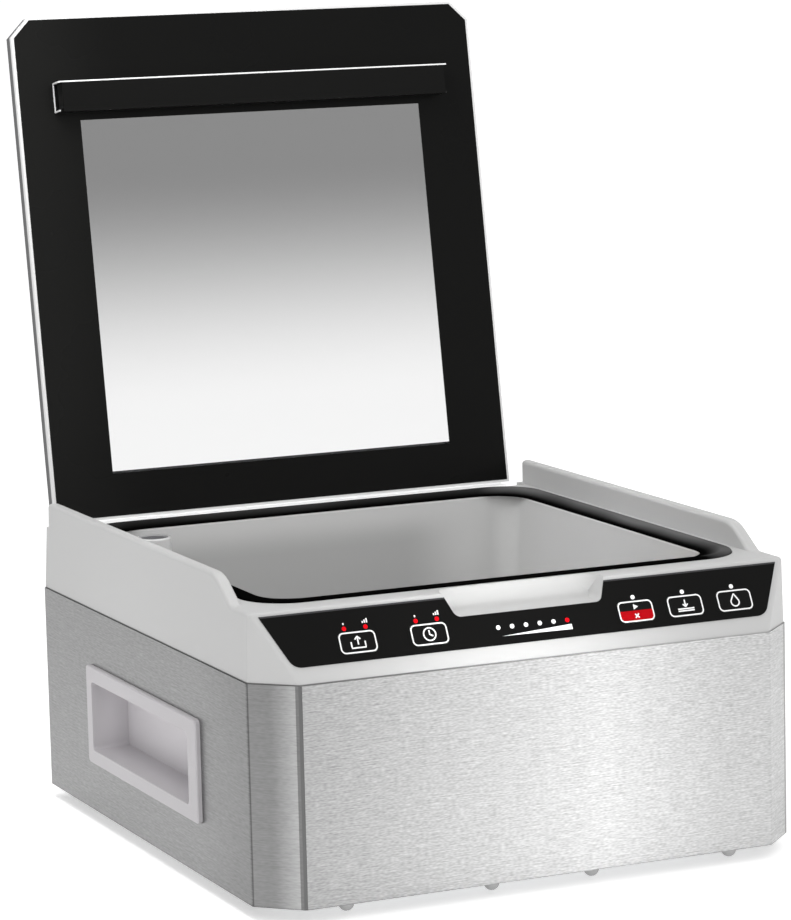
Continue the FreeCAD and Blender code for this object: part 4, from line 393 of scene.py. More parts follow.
def arc(centre, radius, start, end, steps=20):
    """Path along a circle's arc, in millimetres, between two angles in degrees."""
    angles = np.radians(np.linspace(start, end, steps))
    ring = np.array(centre) + radius * np.stack((np.cos(angles), np.sin(angles)), axis=1)
    return ring * MILLIMETRE


# Shared effects

def new_group(name, inputs, outputs):
    """Empty shader node group with named sockets; returns the group with its two end nodes."""
    group = bpy.data.node_groups.new(name, "ShaderNodeTree")
    for label, kind, default in inputs:
        socket = group.interface.new_socket(label, in_out="INPUT", socket_type=kind)
        if default is not None:
            socket.default_value = default
    for label, kind in outputs:
        group.interface.new_socket(label, in_out="OUTPUT", socket_type=kind)
    return group, group.nodes.new("NodeGroupInput"), group.nodes.new("NodeGroupOutput")


def streak_group():
    """Streaks of a brushed sheet: noises drawn out to several lengths and added by weight."""
    group, start, end = new_group(
        "Brushed streaks",
        [("Vector", "NodeSocketVector", None), ("Stretch", "NodeSocketVector", STREAK_STRETCH)],
        [("Mask", "NodeSocketFloat"), ("Height", "NodeSocketFloat")])
    scaled = group.nodes.new("ShaderNodeVectorMath")
    scaled.operation = "MULTIPLY"
    group.links.new(start.outputs["Vector"], scaled.inputs[0])
    group.links.new(start.outputs["Stretch"], scaled.inputs[1])
    total = None
    for length, weight in STREAK_SETS:
        drawn = group.nodes.new("ShaderNodeVectorMath")
        drawn.operation = "MULTIPLY"
        drawn.inputs[1].default_value = (length, length, 1.0)
        group.links.new(scaled.outputs["Vector"], drawn.inputs[0])
        noise = group.nodes.new("ShaderNodeTexNoise")
        noise.inputs["Scale"].default_value = 1.0
        noise.inputs["Detail"].default_value = 0.0
        group.links.new(drawn.outputs["Vector"], noise.inputs["Vector"])
        added = group.nodes.new("ShaderNodeMath")
        added.operation = "MULTIPLY_ADD"
        added.inputs[1].default_value = weight
        added.inputs[2].default_value = 0.0
        group.links.new(noise.outputs["Fac"], added.inputs[0])
        if total:
            group.links.new(total, added.inputs[2])
        total = added.outputs["Value"]
    for label in ("Mask", "Height"):
        group.links.new(total, end.inputs[label])
    return group


def grain_group():
    """Grain of a moulded surface: fine noise as a height, broad noise as a mask for slight drift."""
    group, start, end = new_group(
        "Moulded grain",
        [("Vector", "NodeSocketVector", None), ("Fine", "NodeSocketFloat", GRAIN_FINE),
         ("Broad", "NodeSocketFloat", GRAIN_BROAD)],
        [("Mask", "NodeSocketFloat"), ("Height", "NodeSocketFloat")])
    layers = (("Fine", GRAIN_FINE_DETAIL, "Height"), ("Broad", GRAIN_BROAD_DETAIL, "Mask"))
    for socket, detail, label in layers:
        noise = group.nodes.new("ShaderNodeTexNoise")
        noise.inputs["Detail"].default_value = detail
        group.links.new(start.outputs["Vector"], noise.inputs["Vector"])
        group.links.new(start.outputs[socket], noise.inputs["Scale"])
        group.links.new(noise.outputs["Fac"], end.inputs[label])
    return group


def span_group():
    """Mask that rises from 0 to 1 as one coordinate goes from Low to High."""
    group, start, end = new_group(
        "Span mask",
        [("Value", "NodeSocketFloat", None), ("Low", "NodeSocketFloat", 0.0),
         ("High", "NodeSocketFloat", 1.0)],
        [("Mask", "NodeSocketFloat")])
    remap = group.nodes.new("ShaderNodeMapRange")
    remap.interpolation_type = "SMOOTHSTEP"
    group.links.new(start.outputs["Value"], remap.inputs["Value"])
    group.links.new(start.outputs["Low"], remap.inputs["From Min"])
    group.links.new(start.outputs["High"], remap.inputs["From Max"])
    group.links.new(remap.outputs["Result"], end.inputs["Mask"])
    return group


EFFECT_MAKERS = {"streaks": streak_group, "grain": grain_group, "span": span_group}
EFFECTS = {}


def effect(name):
    """Shared effect by name, built once."""
    if name not in EFFECTS:
        EFFECTS[name] = EFFECT_MAKERS[name]()
    return EFFECTS[name]


# Materials

class Finish:
    """One material being put together: its nodes, its shader and the shared effects."""

    def __init__(self, name):
        self.material = bpy.data.materials.new(name)
        self.material.use_nodes = True
        tree = self.material.node_tree
        self.nodes = tree.nodes
        self.links = tree.links
        self.shader = self.nodes["Principled BSDF"]
        self.place = self.nodes.new("ShaderNodeTexCoord").outputs["Object"]

    def constant(self, **values):
        """Constant values on the shader's own sockets, named with underscores for spaces."""
        for label, value in values.items():
            self.shader.inputs[label.replace("_", " ")].default_value = value

    def feed(self, label, socket):
        """Link a socket to the shader."""
        self.links.new(socket, self.shader.inputs[label])

    def base(self):
        """Socket that feeds the base colour so far."""
        return self.shader.inputs["Base Color"].links[0].from_socket

    def over(self, mask, colour):
        """Lay a colour over the base colour where a mask is 1."""
        self.feed("Base Color", self.mixed(mask, self.base(), colour))

    def put(self, value, socket):
        """Link a value to a socket if it is a socket itself, or else set it there."""
        if isinstance(value, bpy.types.NodeSocket):
            self.links.new(value, socket)
        else:
            socket.default_value = value

    def group(self, tree, **values):
        """Shared effect fed with the object's coordinates where it reads them."""
        node = self.nodes.new("ShaderNodeGroup")
        node.node_tree = tree
        if "Vector" in node.inputs:
            self.links.new(self.place, node.inputs["Vector"])
        for label, value in values.items():
            self.put(value, node.inputs[label])
        return node

    def axis(self, label):
        """One coordinate of the object's place."""
        split = self.nodes.new("ShaderNodeSeparateXYZ")
        self.links.new(self.place, split.inputs["Vector"])
        return split.outputs[label]

    def along(self, way):
        """Distance of the object's place along a way."""
        node = self.nodes.new("ShaderNodeVectorMath")
        node.operation = "DOT_PRODUCT"
        node.inputs[1].default_value = way
        self.links.new(self.place, node.inputs[0])
        return node.outputs["Value"]

    def maths(self, operation, first, second=0.0):
        """Sum, product or other operation on two values; either may be a socket."""
        node = self.nodes.new("ShaderNodeMath")
        node.operation = operation
        for value, socket in zip((first, second), node.inputs):
            self.put(value, socket)
        return node.outputs["Value"]

    def ranged(self, value, low, high):
        """Value from 0..1 brought to low..high."""
        remap = self.nodes.new("ShaderNodeMapRange")
        remap.inputs["To Min"].default_value = low
        remap.inputs["To Max"].default_value = high
        self.links.new(value, remap.inputs["Value"])
        return remap.outputs["Result"]

    def rise(self, value, low, high):
        """Mask that rises from 0 to 1 as a value goes from low to high."""
        return self.group(effect("span"), Low=low, High=high, Value=value).outputs["Mask"]

    def span(self, label, low, high):
        """Mask that rises from 0 to 1 between two places along one axis."""
        return self.rise(self.axis(label), low, high)

    def band(self, label, low, high, soft):
        """Mask that is 1 between two places along one axis, with soft ends."""
        return self.maths("SUBTRACT", self.span(label, low - soft, low), self.span(label, high, high + soft))

    def mixed(self, mask, first, second):
        """Colour between two colours by a mask; either colour may be a socket."""
        mix = self.nodes.new("ShaderNodeMix")
        mix.data_type = "RGBA"
        self.links.new(mask, mix.inputs["Factor"])
        for colour, socket in ((first, mix.inputs["A"]), (second, mix.inputs["B"])):
            self.put(colour if isinstance(colour, bpy.types.NodeSocket) else (*colour, 1.0), socket)
        return mix.outputs["Result"]

    def product(self, first, second):
        """Two colours multiplied."""
        mix = self.nodes.new("ShaderNodeMix")
        mix.data_type = "RGBA"
        mix.blend_type = "MULTIPLY"
        mix.inputs["Factor"].default_value = 1.0
        self.links.new(first, mix.inputs["A"])
        self.links.new(second, mix.inputs["B"])
        return mix.outputs["Result"]

    def bump(self, height, strength):
        """Bump on the shader's normal."""
        node = self.nodes.new("ShaderNodeBump")
        node.inputs["Strength"].default_value = strength
        node.inputs["Distance"].default_value = BUMP_DEPTH
        self.links.new(height, node.inputs["Height"])
        self.feed("Normal", node.outputs["Normal"])


def shade(colour, factor):
    """Colour made lighter or darker."""
    return tuple(channel * factor for channel in colour)


def brushed(name, colour, roughness=0.34, stretch=STREAK_STRETCH, contrast=0.18):
    """Brushed sheet: streaks in colour, roughness and height."""
    finish = Finish(name)
    streaks = finish.group(effect("streaks"), Stretch=stretch)
    mask = streaks.outputs["Mask"]
    sharp = finish.ranged(mask, *STREAK_TONES)
    finish.feed("Base Color", finish.mixed(sharp, shade(colour, 1 - contrast), shade(colour, 1 + contrast)))
    finish.feed("Roughness", finish.ranged(mask, roughness - STREAK_ROUGHNESS, roughness + STREAK_ROUGHNESS))
    finish.constant(Metallic=1.0)
    finish.bump(streaks.outputs["Height"], STREAK_BUMP)
    return finish


def moulded(name, colour, roughness=0.5, fine=GRAIN_FINE, drift=0.03, strength=0.08):
    """Moulded plastic or rubber: fine grain in height, slight drift in colour and roughness."""
    finish = Finish(name)
    grain = finish.group(effect("grain"), Fine=fine)
    mask = grain.outputs["Mask"]
    finish.feed("Base Color", finish.mixed(mask, shade(colour, 1 - drift), shade(colour, 1 + drift)))
    finish.feed("Roughness", finish.ranged(mask, roughness - GRAIN_ROUGHNESS, roughness + GRAIN_ROUGHNESS))
    finish.constant(Metallic=0.0)
    finish.bump(grain.outputs["Height"], strength)
    return finish


def cast(name, colour, roughness, metallic):
    """Cast, turned or plated metal: fine grain in height and slight drift in colour."""
    finish = moulded(name, colour, roughness, fine=900.0, drift=0.06, strength=0.1)
    finish.constant(Metallic=metallic)
    return finish


CLASS_FINISHES = {
    "brushed_steel": (brushed, {"roughness": 0.32}),
    "aluminium": (brushed, {"roughness": 0.32}),
    "chrome": (cast, {"roughness": 0.2, "metallic": 1.0}),
    "brass": (cast, {"roughness": 0.2, "metallic": 1.0}),
    "cast_iron": (cast, {"roughness": 0.6, "metallic": 0.8}),
    "painted_metal": (moulded, {"roughness": 0.42, "fine": 1400.0, "drift": 0.04, "strength": 0.12}),
    "gloss_plastic": (moulded, {"roughness": 0.24, "fine": 600.0, "drift": 0.02, "strength": 0.02}),
    "fabric": (moulded, {"roughness": 0.7, "fine": 1600.0, "drift": 0.1, "strength": 0.3}),
}


def by_class(slot):
    """Finish for a slot that needs nothing special, from its class and colour in the record."""
    maker, values = CLASS_FINISHES.get(RECORD_CLASSES[slot], (moulded, {}))
    return maker(slot, RECORD_COLOURS[slot], **values)


def steel_painted_light(finish, colours):
    """Colour of the steel by place across the front, painted light from painted shade on the sides to a
    painted highlight band.
    """
    first = STEEL_PAINTED_TONES[0][0]
    last = STEEL_PAINTED_TONES[-1][0]
    place = finish.nodes.new("ShaderNodeMapRange")
    place.inputs["From Min"].default_value = first
    place.inputs["From Max"].default_value = last
    finish.links.new(finish.axis("X"), place.inputs["Value"])
    ramp = finish.nodes.new("ShaderNodeValToRGB")
    finish.links.new(place.outputs["Result"], ramp.inputs["Fac"])
    stops = ramp.color_ramp.elements
    for across, _ in STEEL_PAINTED_TONES[1:-1]:
        stops.new((across - first) / (last - first))
    for stop, (_, tone) in zip(stops, STEEL_PAINTED_TONES):
        stop.color = (*shade(colours.steel, tone), 1.0)
    return ramp.outputs["Color"]


def steel_wrap(colours):
    """Brushed steel of the wrap: grain over the painted light by place, quieter on the left slant, painted
    shade along its foot and bends and on its left side.
    """
    finish = brushed("steel_wrap", WHITE, roughness=0.36, stretch=STEEL_GRAIN, contrast=STEEL_CONTRAST)
    slant = finish.band("X", SIDE_X, BEND_X, BEND_SOFT)
    grained = finish.mixed(finish.maths("MULTIPLY", slant, QUIET_SHARE), finish.base(), WHITE)
    foot_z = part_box("body_wrap")[0][2]
    # Painted shade: a dark line along the foot edge and along each bend.
    dark = finish.span("Z", foot_z + EDGE_WIDTH, foot_z)
    for low, high in BEND_SHADE_LINES:
        dark = finish.maths("MAXIMUM", dark, finish.band("X", low, high, BEND_SOFT))
    edge = finish.mixed(dark, WHITE, shade(WHITE, EDGE_PAINTED_SHADE))
    # Painted shade on the left side, fading from the front backwards.
    left_side = finish.maths("LESS_THAN", finish.axis("X"), SIDE_X)
    to_front = finish.maths("MULTIPLY", finish.span("Y", FRONT_Y + SIDE_FADE, FRONT_Y), left_side)
    side = finish.mixed(to_front, WHITE, shade(WHITE, SIDE_PAINTED_SHADE))
    # The tone by place is painted light: a painted highlight band and painted shade on the sides.
    tone = finish.product(grained, steel_painted_light(finish, colours))
    finish.feed("Base Color", finish.product(tone, finish.product(edge, side)))
    return finish


def seam_strip(colours):
    """Folded seam in painted shade: darker on the half towards the front than on the outer half."""
    finish = brushed("seam_strip", shade(colours.steel, SEAM_PAINTED_SHADE), roughness=0.4, stretch=STEEL_GRAIN,
                     contrast=SEAM_CONTRAST)
    ridge_x = BEND_X + SEAM_RIDGE * CHAMFER_WAY[0]
    # Painted shade, deeper on the half towards the front.
    finish.over(finish.maths("GREATER_THAN", finish.axis("X"), ridge_x), shade(colours.steel, SEAM_FRONT_PAINTED_SHADE))
    return finish


def deck_plastic(colours):
    """Deck plastic, with painted shade in the narrow joint above the steel, most of all along the front."""
    finish = moulded("deck_plastic", colours.deck, roughness=0.46)
    joint_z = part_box("body_wrap")[1][2]
    joint = finish.band("Z", joint_z + JOINT_BAND[0], joint_z + JOINT_BAND[1], JOINT_SOFT)
    # Painted shade in the joint above the steel.
    finish.over(joint, shade(colours.deck, JOINT_PAINTED_SHADE))
    ahead = finish.maths("GREATER_THAN", finish.axis("X"), SIDE_X)
    fading = finish.maths("MULTIPLY", ahead, finish.span("X", -SIDE_X, BEND_X))
    # Deeper painted shade in the joint along the front, strongest towards its left end.
    finish.over(finish.maths("MULTIPLY", joint, fading), shade(colours.deck, JOINT_FRONT_PAINTED_SHADE))
    return finish


def tub_plastic(colours):
    """Chamber plastic: painted highlight along the rim, painted shade towards the foot of the rear wall
    except beside the right corner.
    """
    finish = moulded("tub_plastic", colours.tub, roughness=0.36, fine=1500.0, strength=0.05)
    right_x, rear_y, top_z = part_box("vacuum_chamber")[1]
    rear = finish.span("Y", rear_y - TUB_REAR[0], rear_y - TUB_REAR[1])
    deep = finish.span("Z", top_z - TUB_DEEP[0], top_z - TUB_DEEP[1])
    free = finish.span("X", right_x - TUB_RIGHT[0], right_x - TUB_RIGHT[1])
    # Painted shade towards the foot of the rear wall, left off beside the right corner.
    rear_wall_shade = finish.maths("MULTIPLY", finish.maths("MULTIPLY", rear, deep), free)
    finish.over(rear_wall_shade, shade(colours.tub, TUB_PAINTED_SHADE))
    # Painted highlight along the rim.
    rim = finish.span("Z", top_z - TUB_RIM[0], top_z - TUB_RIM[1])
    finish.over(rim, shade(colours.tub, TUB_RIM_HIGHLIGHT))
    return finish


def cup_plastic(colours):
    """Handle cup: off-white, darker on the frame that stands out of the steel."""
    finish = moulded("cup_plastic", colours.cup, roughness=0.42, strength=0.06)
    frame_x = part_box("right_handle_cup")[1][0]
    outside = finish.rise(finish.maths("ABSOLUTE", finish.axis("X")), CUP_FRAME_FROM * frame_x, frame_x)
    finish.over(outside, shade(colours.cup, CUP_FRAME_SHADE))
    return finish


def panel_film(colours):
    """Panel film: near black, with a painted highlight along the fold at its top edge."""
    finish = moulded("overlay_black", colours.black, roughness=0.34, fine=1800.0, drift=0.1, strength=0.03)
    top_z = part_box("control_overlay")[1][2]
    # Painted highlight along the fold below the top edge.
    finish.over(finish.span("Z", top_z - FOLD_HIGHLIGHT_BAND[0], top_z - FOLD_HIGHLIGHT_BAND[1]), FOLD_HIGHLIGHT_COLOUR)
    finish.constant(Specular_IOR_Level=0.08)
    return finish


def matt_black(name, colours, roughness, fine, specular):
    """Black sheet or rubber that reflects little."""
    finish = moulded(name, colours.black, roughness, fine, drift=0.12, strength=0.05)
    finish.constant(Specular_IOR_Level=specular)
    return finish


def border_sheet(colours):
    """Lid border: black sheet with a painted sheen towards its left edge."""
    finish = matt_black("border_black", colours, roughness=0.28, fine=300.0, specular=0.08)
    left_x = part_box("lid_border")[0][0]
    # Painted sheen towards the left edge.
    finish.over(finish.span("X", left_x + BORDER_SHEEN_REACH, left_x), shade(colours.black, BORDER_PAINTED_SHEEN))
    return finish


def gasket_rubber(colours):
    """Gasket rubber: black, with grey of dust and painted sheen on its land and down its slope."""
    finish = moulded("gasket_rubber", shade(colours.black, GASKET_SHADE), roughness=0.6, fine=1200.0,
                     drift=0.25, strength=0.1)
    dusty = finish.nodes.new("ShaderNodeAttribute")
    dusty.attribute_name = DUST_AND_SHEEN_NAME
    # Grey on the land and slope: part dust, part painted sheen.
    finish.over(dusty.outputs["Fac"], colours.dust_and_sheen)
    finish.constant(Specular_IOR_Level=0.0)
    return finish


def bright_channel(colours):
    """Bright channel of the press bar, with painted shadow below its top flange except along the cut left
    end.
    """
    finish = brushed("bright_channel", colours.channel, roughness=0.3, stretch=(900.0, 900.0, 900.0),
                     contrast=0.05)
    low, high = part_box("press_bar_channel")
    top = high[1] * LID_UP[1] + (high[2] - BAR_PROUD * LID_OUT[2]) * LID_UP[2]
    off_end = finish.span("X", low[0] + BAR_END[0], low[0] + BAR_END[1])
    below = finish.rise(finish.along(LID_UP), top - BAR_LINE[0], top - BAR_LINE[1])
    # Painted shadow below the top flange, left off along the cut left end.
    finish.over(finish.maths("MULTIPLY", off_end, below), BAR_PAINTED_SHADOW)
    finish.constant(Metallic=0.35)
    return finish


def bright_hinge(colours):
    """Bright rolled sheet of the hinge."""
    finish = brushed("hinge_steel", colours.hinge, roughness=0.3, stretch=(60.0, 900.0, 900.0),
                     contrast=0.02)
    finish.constant(Metallic=0.2)
    return finish


def edge_band(colours):
    """White band round the lid, dark towards the lid's outer face along its sides."""
    finish = moulded("band_white", colours.band, roughness=0.4, fine=900.0, drift=0.02, strength=0.03)
    side_x, rear_y, top_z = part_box("lid_edge_band")[1]
    back = rear_y * LID_OUT[1] + (top_z - BAND_DEPTH * LID_OUT[2]) * LID_OUT[2]
    outer = finish.rise(finish.along(LID_OUT), back + BAND_OUTER[0], back + BAND_OUTER[1])
    reach = finish.maths("ABSOLUTE", finish.axis("X"))
    side = finish.rise(reach, BAND_SIDE[0] * side_x, BAND_SIDE[1] * side_x)
    finish.over(finish.maths("MULTIPLY", outer, side), colours.outer_frame)
    return finish


def clear_pane(colours):
    """Clear acrylic with painted shade: grey towards its front edge."""
    finish = Finish("pane_clear")
    foot_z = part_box("lid_pane")[0][2]
    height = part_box("lid_pane")[1][2] - foot_z
    # Painted shade: grey towards the front edge, clear towards the hinge.
    mask = finish.span("Z", foot_z + PANE_SHADE_SPAN[0] * height, foot_z + PANE_SHADE_SPAN[1] * height)
    finish.feed("Base Color", finish.mixed(mask, colours.pane_foot, colours.pane_top_shade))
    finish.constant(Metallic=0.0, Roughness=0.02, IOR=1.1, Transmission_Weight=1.0, Specular_IOR_Level=0.2)
    return finish


def print_ink(name, colour):
    """Printed ink, slightly uneven."""
    finish = moulded(name, colour, fine=3000.0, strength=0.03)
    finish.constant(Specular_IOR_Level=0.05)
    return finish


def light_guide(name, colour, glow):
    """Light guide: milky plastic that glows a little."""
    finish = moulded(name, colour, roughness=0.4, fine=3000.0, drift=0.04, strength=0.02)
    finish.constant(Specular_IOR_Level=0.05, Emission_Color=(*colour, 1.0), Emission_Strength=glow)
    return finish


SPECIAL_FINISHES = {
    "steel_wrap": steel_wrap,
    "deck_plastic": deck_plastic,
    "tub_plastic": tub_plastic,
    "cup_plastic": cup_plastic,
    "overlay_black": panel_film,
    "border_black": border_sheet,
    "gasket_rubber": gasket_rubber,
    "bright_channel": bright_channel,
    "band_white": edge_band,
    "hinge_steel": bright_hinge,
    "pane_clear": clear_pane,
    "key_black": lambda colours: matt_black("key_black", colours, roughness=0.4, fine=2600.0, specular=0.1),
    "pad_rubber": lambda colours: matt_black("pad_rubber", colours, roughness=0.5, fine=1600.0,
                                             specular=0.1),
    "frame_grey": lambda colours: moulded("frame_grey", colours.outer_frame, fine=1400.0, drift=0.05,
                                          strength=0.06),
    "screw_steel": lambda colours: cast("screw_steel", colours.screw, roughness=0.34, metallic=1.0),
    "post_metal": lambda colours: cast("post_metal", colours.post, roughness=0.3, metallic=0.3),
    "light_red": lambda colours: light_guide("light_red", colours.red, glow=0.25),
    "light_white": lambda colours: light_guide("light_white", colours.mark, glow=0.15),
    "sheet_zinc": lambda colours: brushed("sheet_zinc", RECORD_COLOURS["sheet_zinc"], roughness=0.42,
                                          stretch=(150.0, 150.0, 500.0), contrast=0.1),
}
MATERIALS = {}


# Pieces

def gasket_profile(tall):
    """Gasket's section as distances from its outer edge and heights, and each point's hollow and its share
    of dust and painted sheen.

    It runs up from the outer foot over a quarter round to a flat land, then down a slope to the mouth, where
    it hoods the chamber's lip. The hollow is a half wave along the slope, and the dust and painted sheen
    fade down it.
    """
    quarter = np.linspace(0, math.pi / 2, GASKET_EDGE_STEPS)
    rounding = np.stack((1 - np.cos(quarter), np.sin(quarter)), axis=1)
    shoulder = rounding * GASKET_EDGE + (0.0, tall - GASKET_EDGE)
    share = np.linspace(0, 1, GASKET_SLOPE_STEPS)
    slope = np.stack((GASKET_LAND + share * (GASKET_STRIP - GASKET_LAND),
                      tall + share * (GASKET_RISE - tall)), axis=1)
    hood = ((GASKET_STRIP + GASKET_HOOD, GASKET_RISE), (GASKET_STRIP + GASKET_HOOD, GASKET_HOOD_FOOT))
    profile = np.concatenate((((0.0, 0.0),), shoulder, slope, hood))
    level = np.zeros(len(hood))
    half_wave = np.sin(math.pi * share) ** GASKET_HOLLOW_POWER
    hollow = np.concatenate((np.zeros(1 + len(quarter)), half_wave, level))
    dusty = np.concatenate((np.zeros(1), np.ones(len(quarter)), (1 - share) ** DUST_AND_SHEEN_FADE, level))
    return profile, hollow, dusty


def gasket_surface(sag):
    """Gasket as its section carried round a rounded rectangle.

    Each point of the section goes from the outer path towards the mouth's path by its distance. The hollow
    in the slope drifts in slow waves along the path. The dust and painted sheen are full on the right run,
    weak on the rear run and absent on the left and front runs.
    """
    low, high = (np.array(corner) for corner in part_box("chamber_gasket"))
    profile, hollow, dusty = gasket_profile(high[2] - low[2])
    turn = np.linspace(0, 1, GASKET_TURN_STEPS)
    run = np.linspace(0, 1, GASKET_RUN_STEPS)[1:-1]
    quarters = [np.concatenate((index + turn, np.full(len(run), index + 1.0))) for index in range(4)]
    angles = np.concatenate(quarters) * math.pi / 2
    outward = np.stack((np.cos(angles), np.sin(angles)), axis=1)

    def rounded_path(inset, radius):
        """Points round the path: about each corner's centre, then straight on to the next corner."""
        corners = (high + low)[:2] / 2 + CORNER_SIGNS * ((high - low)[:2] / 2 - inset - radius)
        onward = np.roll(corners, -1, axis=0) - corners
        still = np.repeat(corners[:, None], len(turn), axis=1)
        centres = np.concatenate((still, corners[:, None] + onward[:, None] * run[None, :, None]), axis=1)
        return centres.reshape(-1, 2) + radius * outward

    outer = rounded_path(0.0, GASKET_CORNER)[:, None]
    mouth = rounded_path(GASKET_STRIP, GASKET_MOUTH_CORNER)[:, None]
    plan = outer + (mouth - outer) * profile[None, :, :1] / GASKET_STRIP
    way = np.linspace(0, 2 * math.pi, len(angles), endpoint=False)
    drift = 1 + sum(size * np.sin(count * way + start) for size, count, start in GASKET_WAVES)
    heights = low[2] + profile[None, :, 1] - sag * drift[:, None] * hollow[None, :]
    points = np.concatenate((plan, heights[..., None]), axis=2)
    # Dust and painted sheen by run: full on the right run, weak on the rear run, none on the left and front
    # runs.
    dust_and_sheen_by_run = np.maximum(0, outward) @ (1.0, DUST_AND_SHEEN_REAR_SHARE)
    return points, grid_faces(len(angles), len(profile), True, True), np.outer(dust_and_sheen_by_run * drift, dusty)


def seam_surface():
    """Seam strip: its section in plan, along and out of the slanted corner, carried up the steel."""
    low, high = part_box("body_wrap")
    out = np.array((-CHAMFER_WAY[1], CHAMFER_WAY[0]))
    flat = (BEND_X, FRONT_Y) + SEAM_SECTION[:, :1] * CHAMFER_WAY + SEAM_SECTION[:, 1:] * out
    return plate(flat, low[2] + SEAM_INSET, high[2] - SEAM_INSET)


def arrow(tip_y, tail_y, spread):
    """Arrow along the slope: a shaft and two strokes at its tip."""
    back = tip_y + math.copysign(spread, tail_y - tip_y)
    tip = (0, tip_y)
    return [line((0, tail_y), tip), line((-spread, back), tip), line((spread, back), tip)]


def key_strokes(key):
    """Open strokes of a key's pictogram, from millimetres to the right of and below the key's middle."""
    if key == "vacuum_level_button":
        tray = line((-4.2, -0.4), (-4.2, 3.2), (4.2, 3.2), (4.2, -0.4))
        return [tray, *arrow(tip_y=-3.4, tail_y=1.4, spread=1.7)]
    if key == "seal_time_button":
        hands = line((0, -2.4), (0, 0.1), (1.9, 1.2))
        return [arc((0, 0), radius=3.7, start=0, end=360), hands]
    if key == START_KEY:
        return [line((-1.2, 1.6), (1.2, 4.0)), line((1.2, 1.6), (-1.2, 4.0))]
    if key == "seal_now_button":
        seams = [line((-5.2, y), (5.2, y)) for y in (3.0, 1.8)]
        return seams + arrow(tip_y=0.6, tail_y=-3.6, spread=1.6)
    tip = (0, -3.9)
    belly = arc((0, 1.0), radius=2.6, start=-20, end=200)
    return [belly, line(belly[0] / MILLIMETRE, tip), line(belly[-1] / MILLIMETRE, tip)]


def risers(middle_x, level):
    """Rising bars that stand for a level, as the rims of upright plates about a middle in millimetres."""
    index = np.arange(level)[:, None]
    x = middle_x + (index - (level - 1) / 2) * RISER_PITCH + np.array((-1, 1, 1, -1)) * RISER_WIDTH / 2
    y = RISER_FOOT - (RISER_FIRST + RISER_STEP * index) * np.array((0, 0, 1, 1))
    return np.stack((x, y), axis=-1) * MILLIMETRE


class SEALER_OT_finishes(bpy.types.Operator):
    """Give every CAD node the procedural material of its slot."""

    bl_idname = "sealer.finishes"
    bl_label = "Finishes"

    def execute(self, context):
        colours = context.scene.sealer_finish
        for slot in RECORD_COLOURS:
            finish = SPECIAL_FINISHES[slot](colours) if slot in SPECIAL_FINISHES else by_class(slot)
            MATERIALS[slot] = finish.material
        MATERIALS["print_white"] = print_ink("print_white", colours.mark).material
        MATERIALS["print_red"] = print_ink("print_red", shade(colours.red, RED_INK_SHADE)).material
        MATERIALS["seam_strip"] = seam_strip(colours).material
        for entry in RECORD["subparts"]:
            node = frame["nodes"][entry["node"]]
            for holder in node.material_slots:
                holder.material = MATERIALS[entry["material_slot"]]
        return {"FINISHED"}


class SEALER_OT_gasket(bpy.types.Operator):
    """Soft gasket with a hollow slope, in the place of the plain solid."""

    bl_idname = "sealer.gasket"
    bl_label = "Gasket"

    def execute(self, context):
        points, faces, dusty = gasket_surface(context.scene.sealer_sizes.gasket_sag)
        rubber = MATERIALS["gasket_rubber"]
        piece = add_piece("gasket_lip", points, faces, rubber, "housing", smooth=True)
        # Each point's share of dust and painted sheen, for the rubber's grey.
        piece.data.attributes.new(DUST_AND_SHEEN_NAME, "FLOAT", "POINT").data.foreach_set("value", dusty.ravel())
        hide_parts("chamber_gasket")
        return {"FINISHED"}


class SEALER_OT_seam(bpy.types.Operator):
    """Folded seam of the steel at the left front bend."""

    bl_idname = "sealer.seam"
    bl_label = "Seam"

    def execute(self, context):
        points, faces = seam_surface()
        add_piece("steel_seam", points, faces, MATERIALS["seam_strip"], "housing")
        return {"FINISHED"}


class SEALER_OT_key_marks(bpy.types.Operator):
    """White outline and plain pictogram on each key, and the red half of the start key."""

    bl_idname = "sealer.key_marks"
    bl_label = "Key marks"

    def execute(self, context):
        width = context.scene.sealer_sizes.line
        low = CAP_FACE - PRINT_SINK
        high = CAP_FACE + context.scene.sealer_sizes.print_height
        edge = rounded_rectangle(KEY_HALF_SIZE - width / 2, KEY_CORNER)
        for key in KEYS:
            anchor = key_place(key)
            parts = [ribbon(edge, width, low, high, True)]
            parts += [ribbon(path, width, low, high + STROKE_LIFT, False) for path in key_strokes(key)]
            if key == START_KEY:
                parts.append(plate(START_SIGN * MILLIMETRE, low, high))
                inner = rounded_rectangle(KEY_HALF_SIZE - width, RED_CORNER)
                red_rim = np.column_stack((inner[:, 0], np.maximum(inner[:, 1], RED_TOP)))
                red_half = plate(red_rim, low, high + RED_LIFT)
                add_print("start_key_red_half", [red_half], anchor, "print_red", key)
            add_print(key + "_marks", parts, anchor, "print_white", key)
        return {"FINISHED"}


class SEALER_OT_panel_marks(bpy.types.Operator):
    """Level bars above the level lights and the rising wedge below the progress lights."""

    bl_idname = "sealer.panel_marks"
    bl_label = "Panel marks"

    def execute(self, context):
        low = -PRINT_SINK
        high = context.scene.sealer_sizes.print_height
        anchor = key_place(LEVEL_KEYS[0])
        parts = []
        for key in LEVEL_KEYS:
            offset = key_place(key)[0] - anchor[0]
            for middle_x, level in RISER_PLACES:
                parts += [plate(rim + (offset, 0.0), low, high) for rim in risers(middle_x, level)]
        parts.append(plate(WEDGE_SIGN * MILLIMETRE - (anchor[0], 0.0), low, high))
        add_print("panel_marks", parts, anchor, "print_white", "housing")
        return {"FINISHED"}


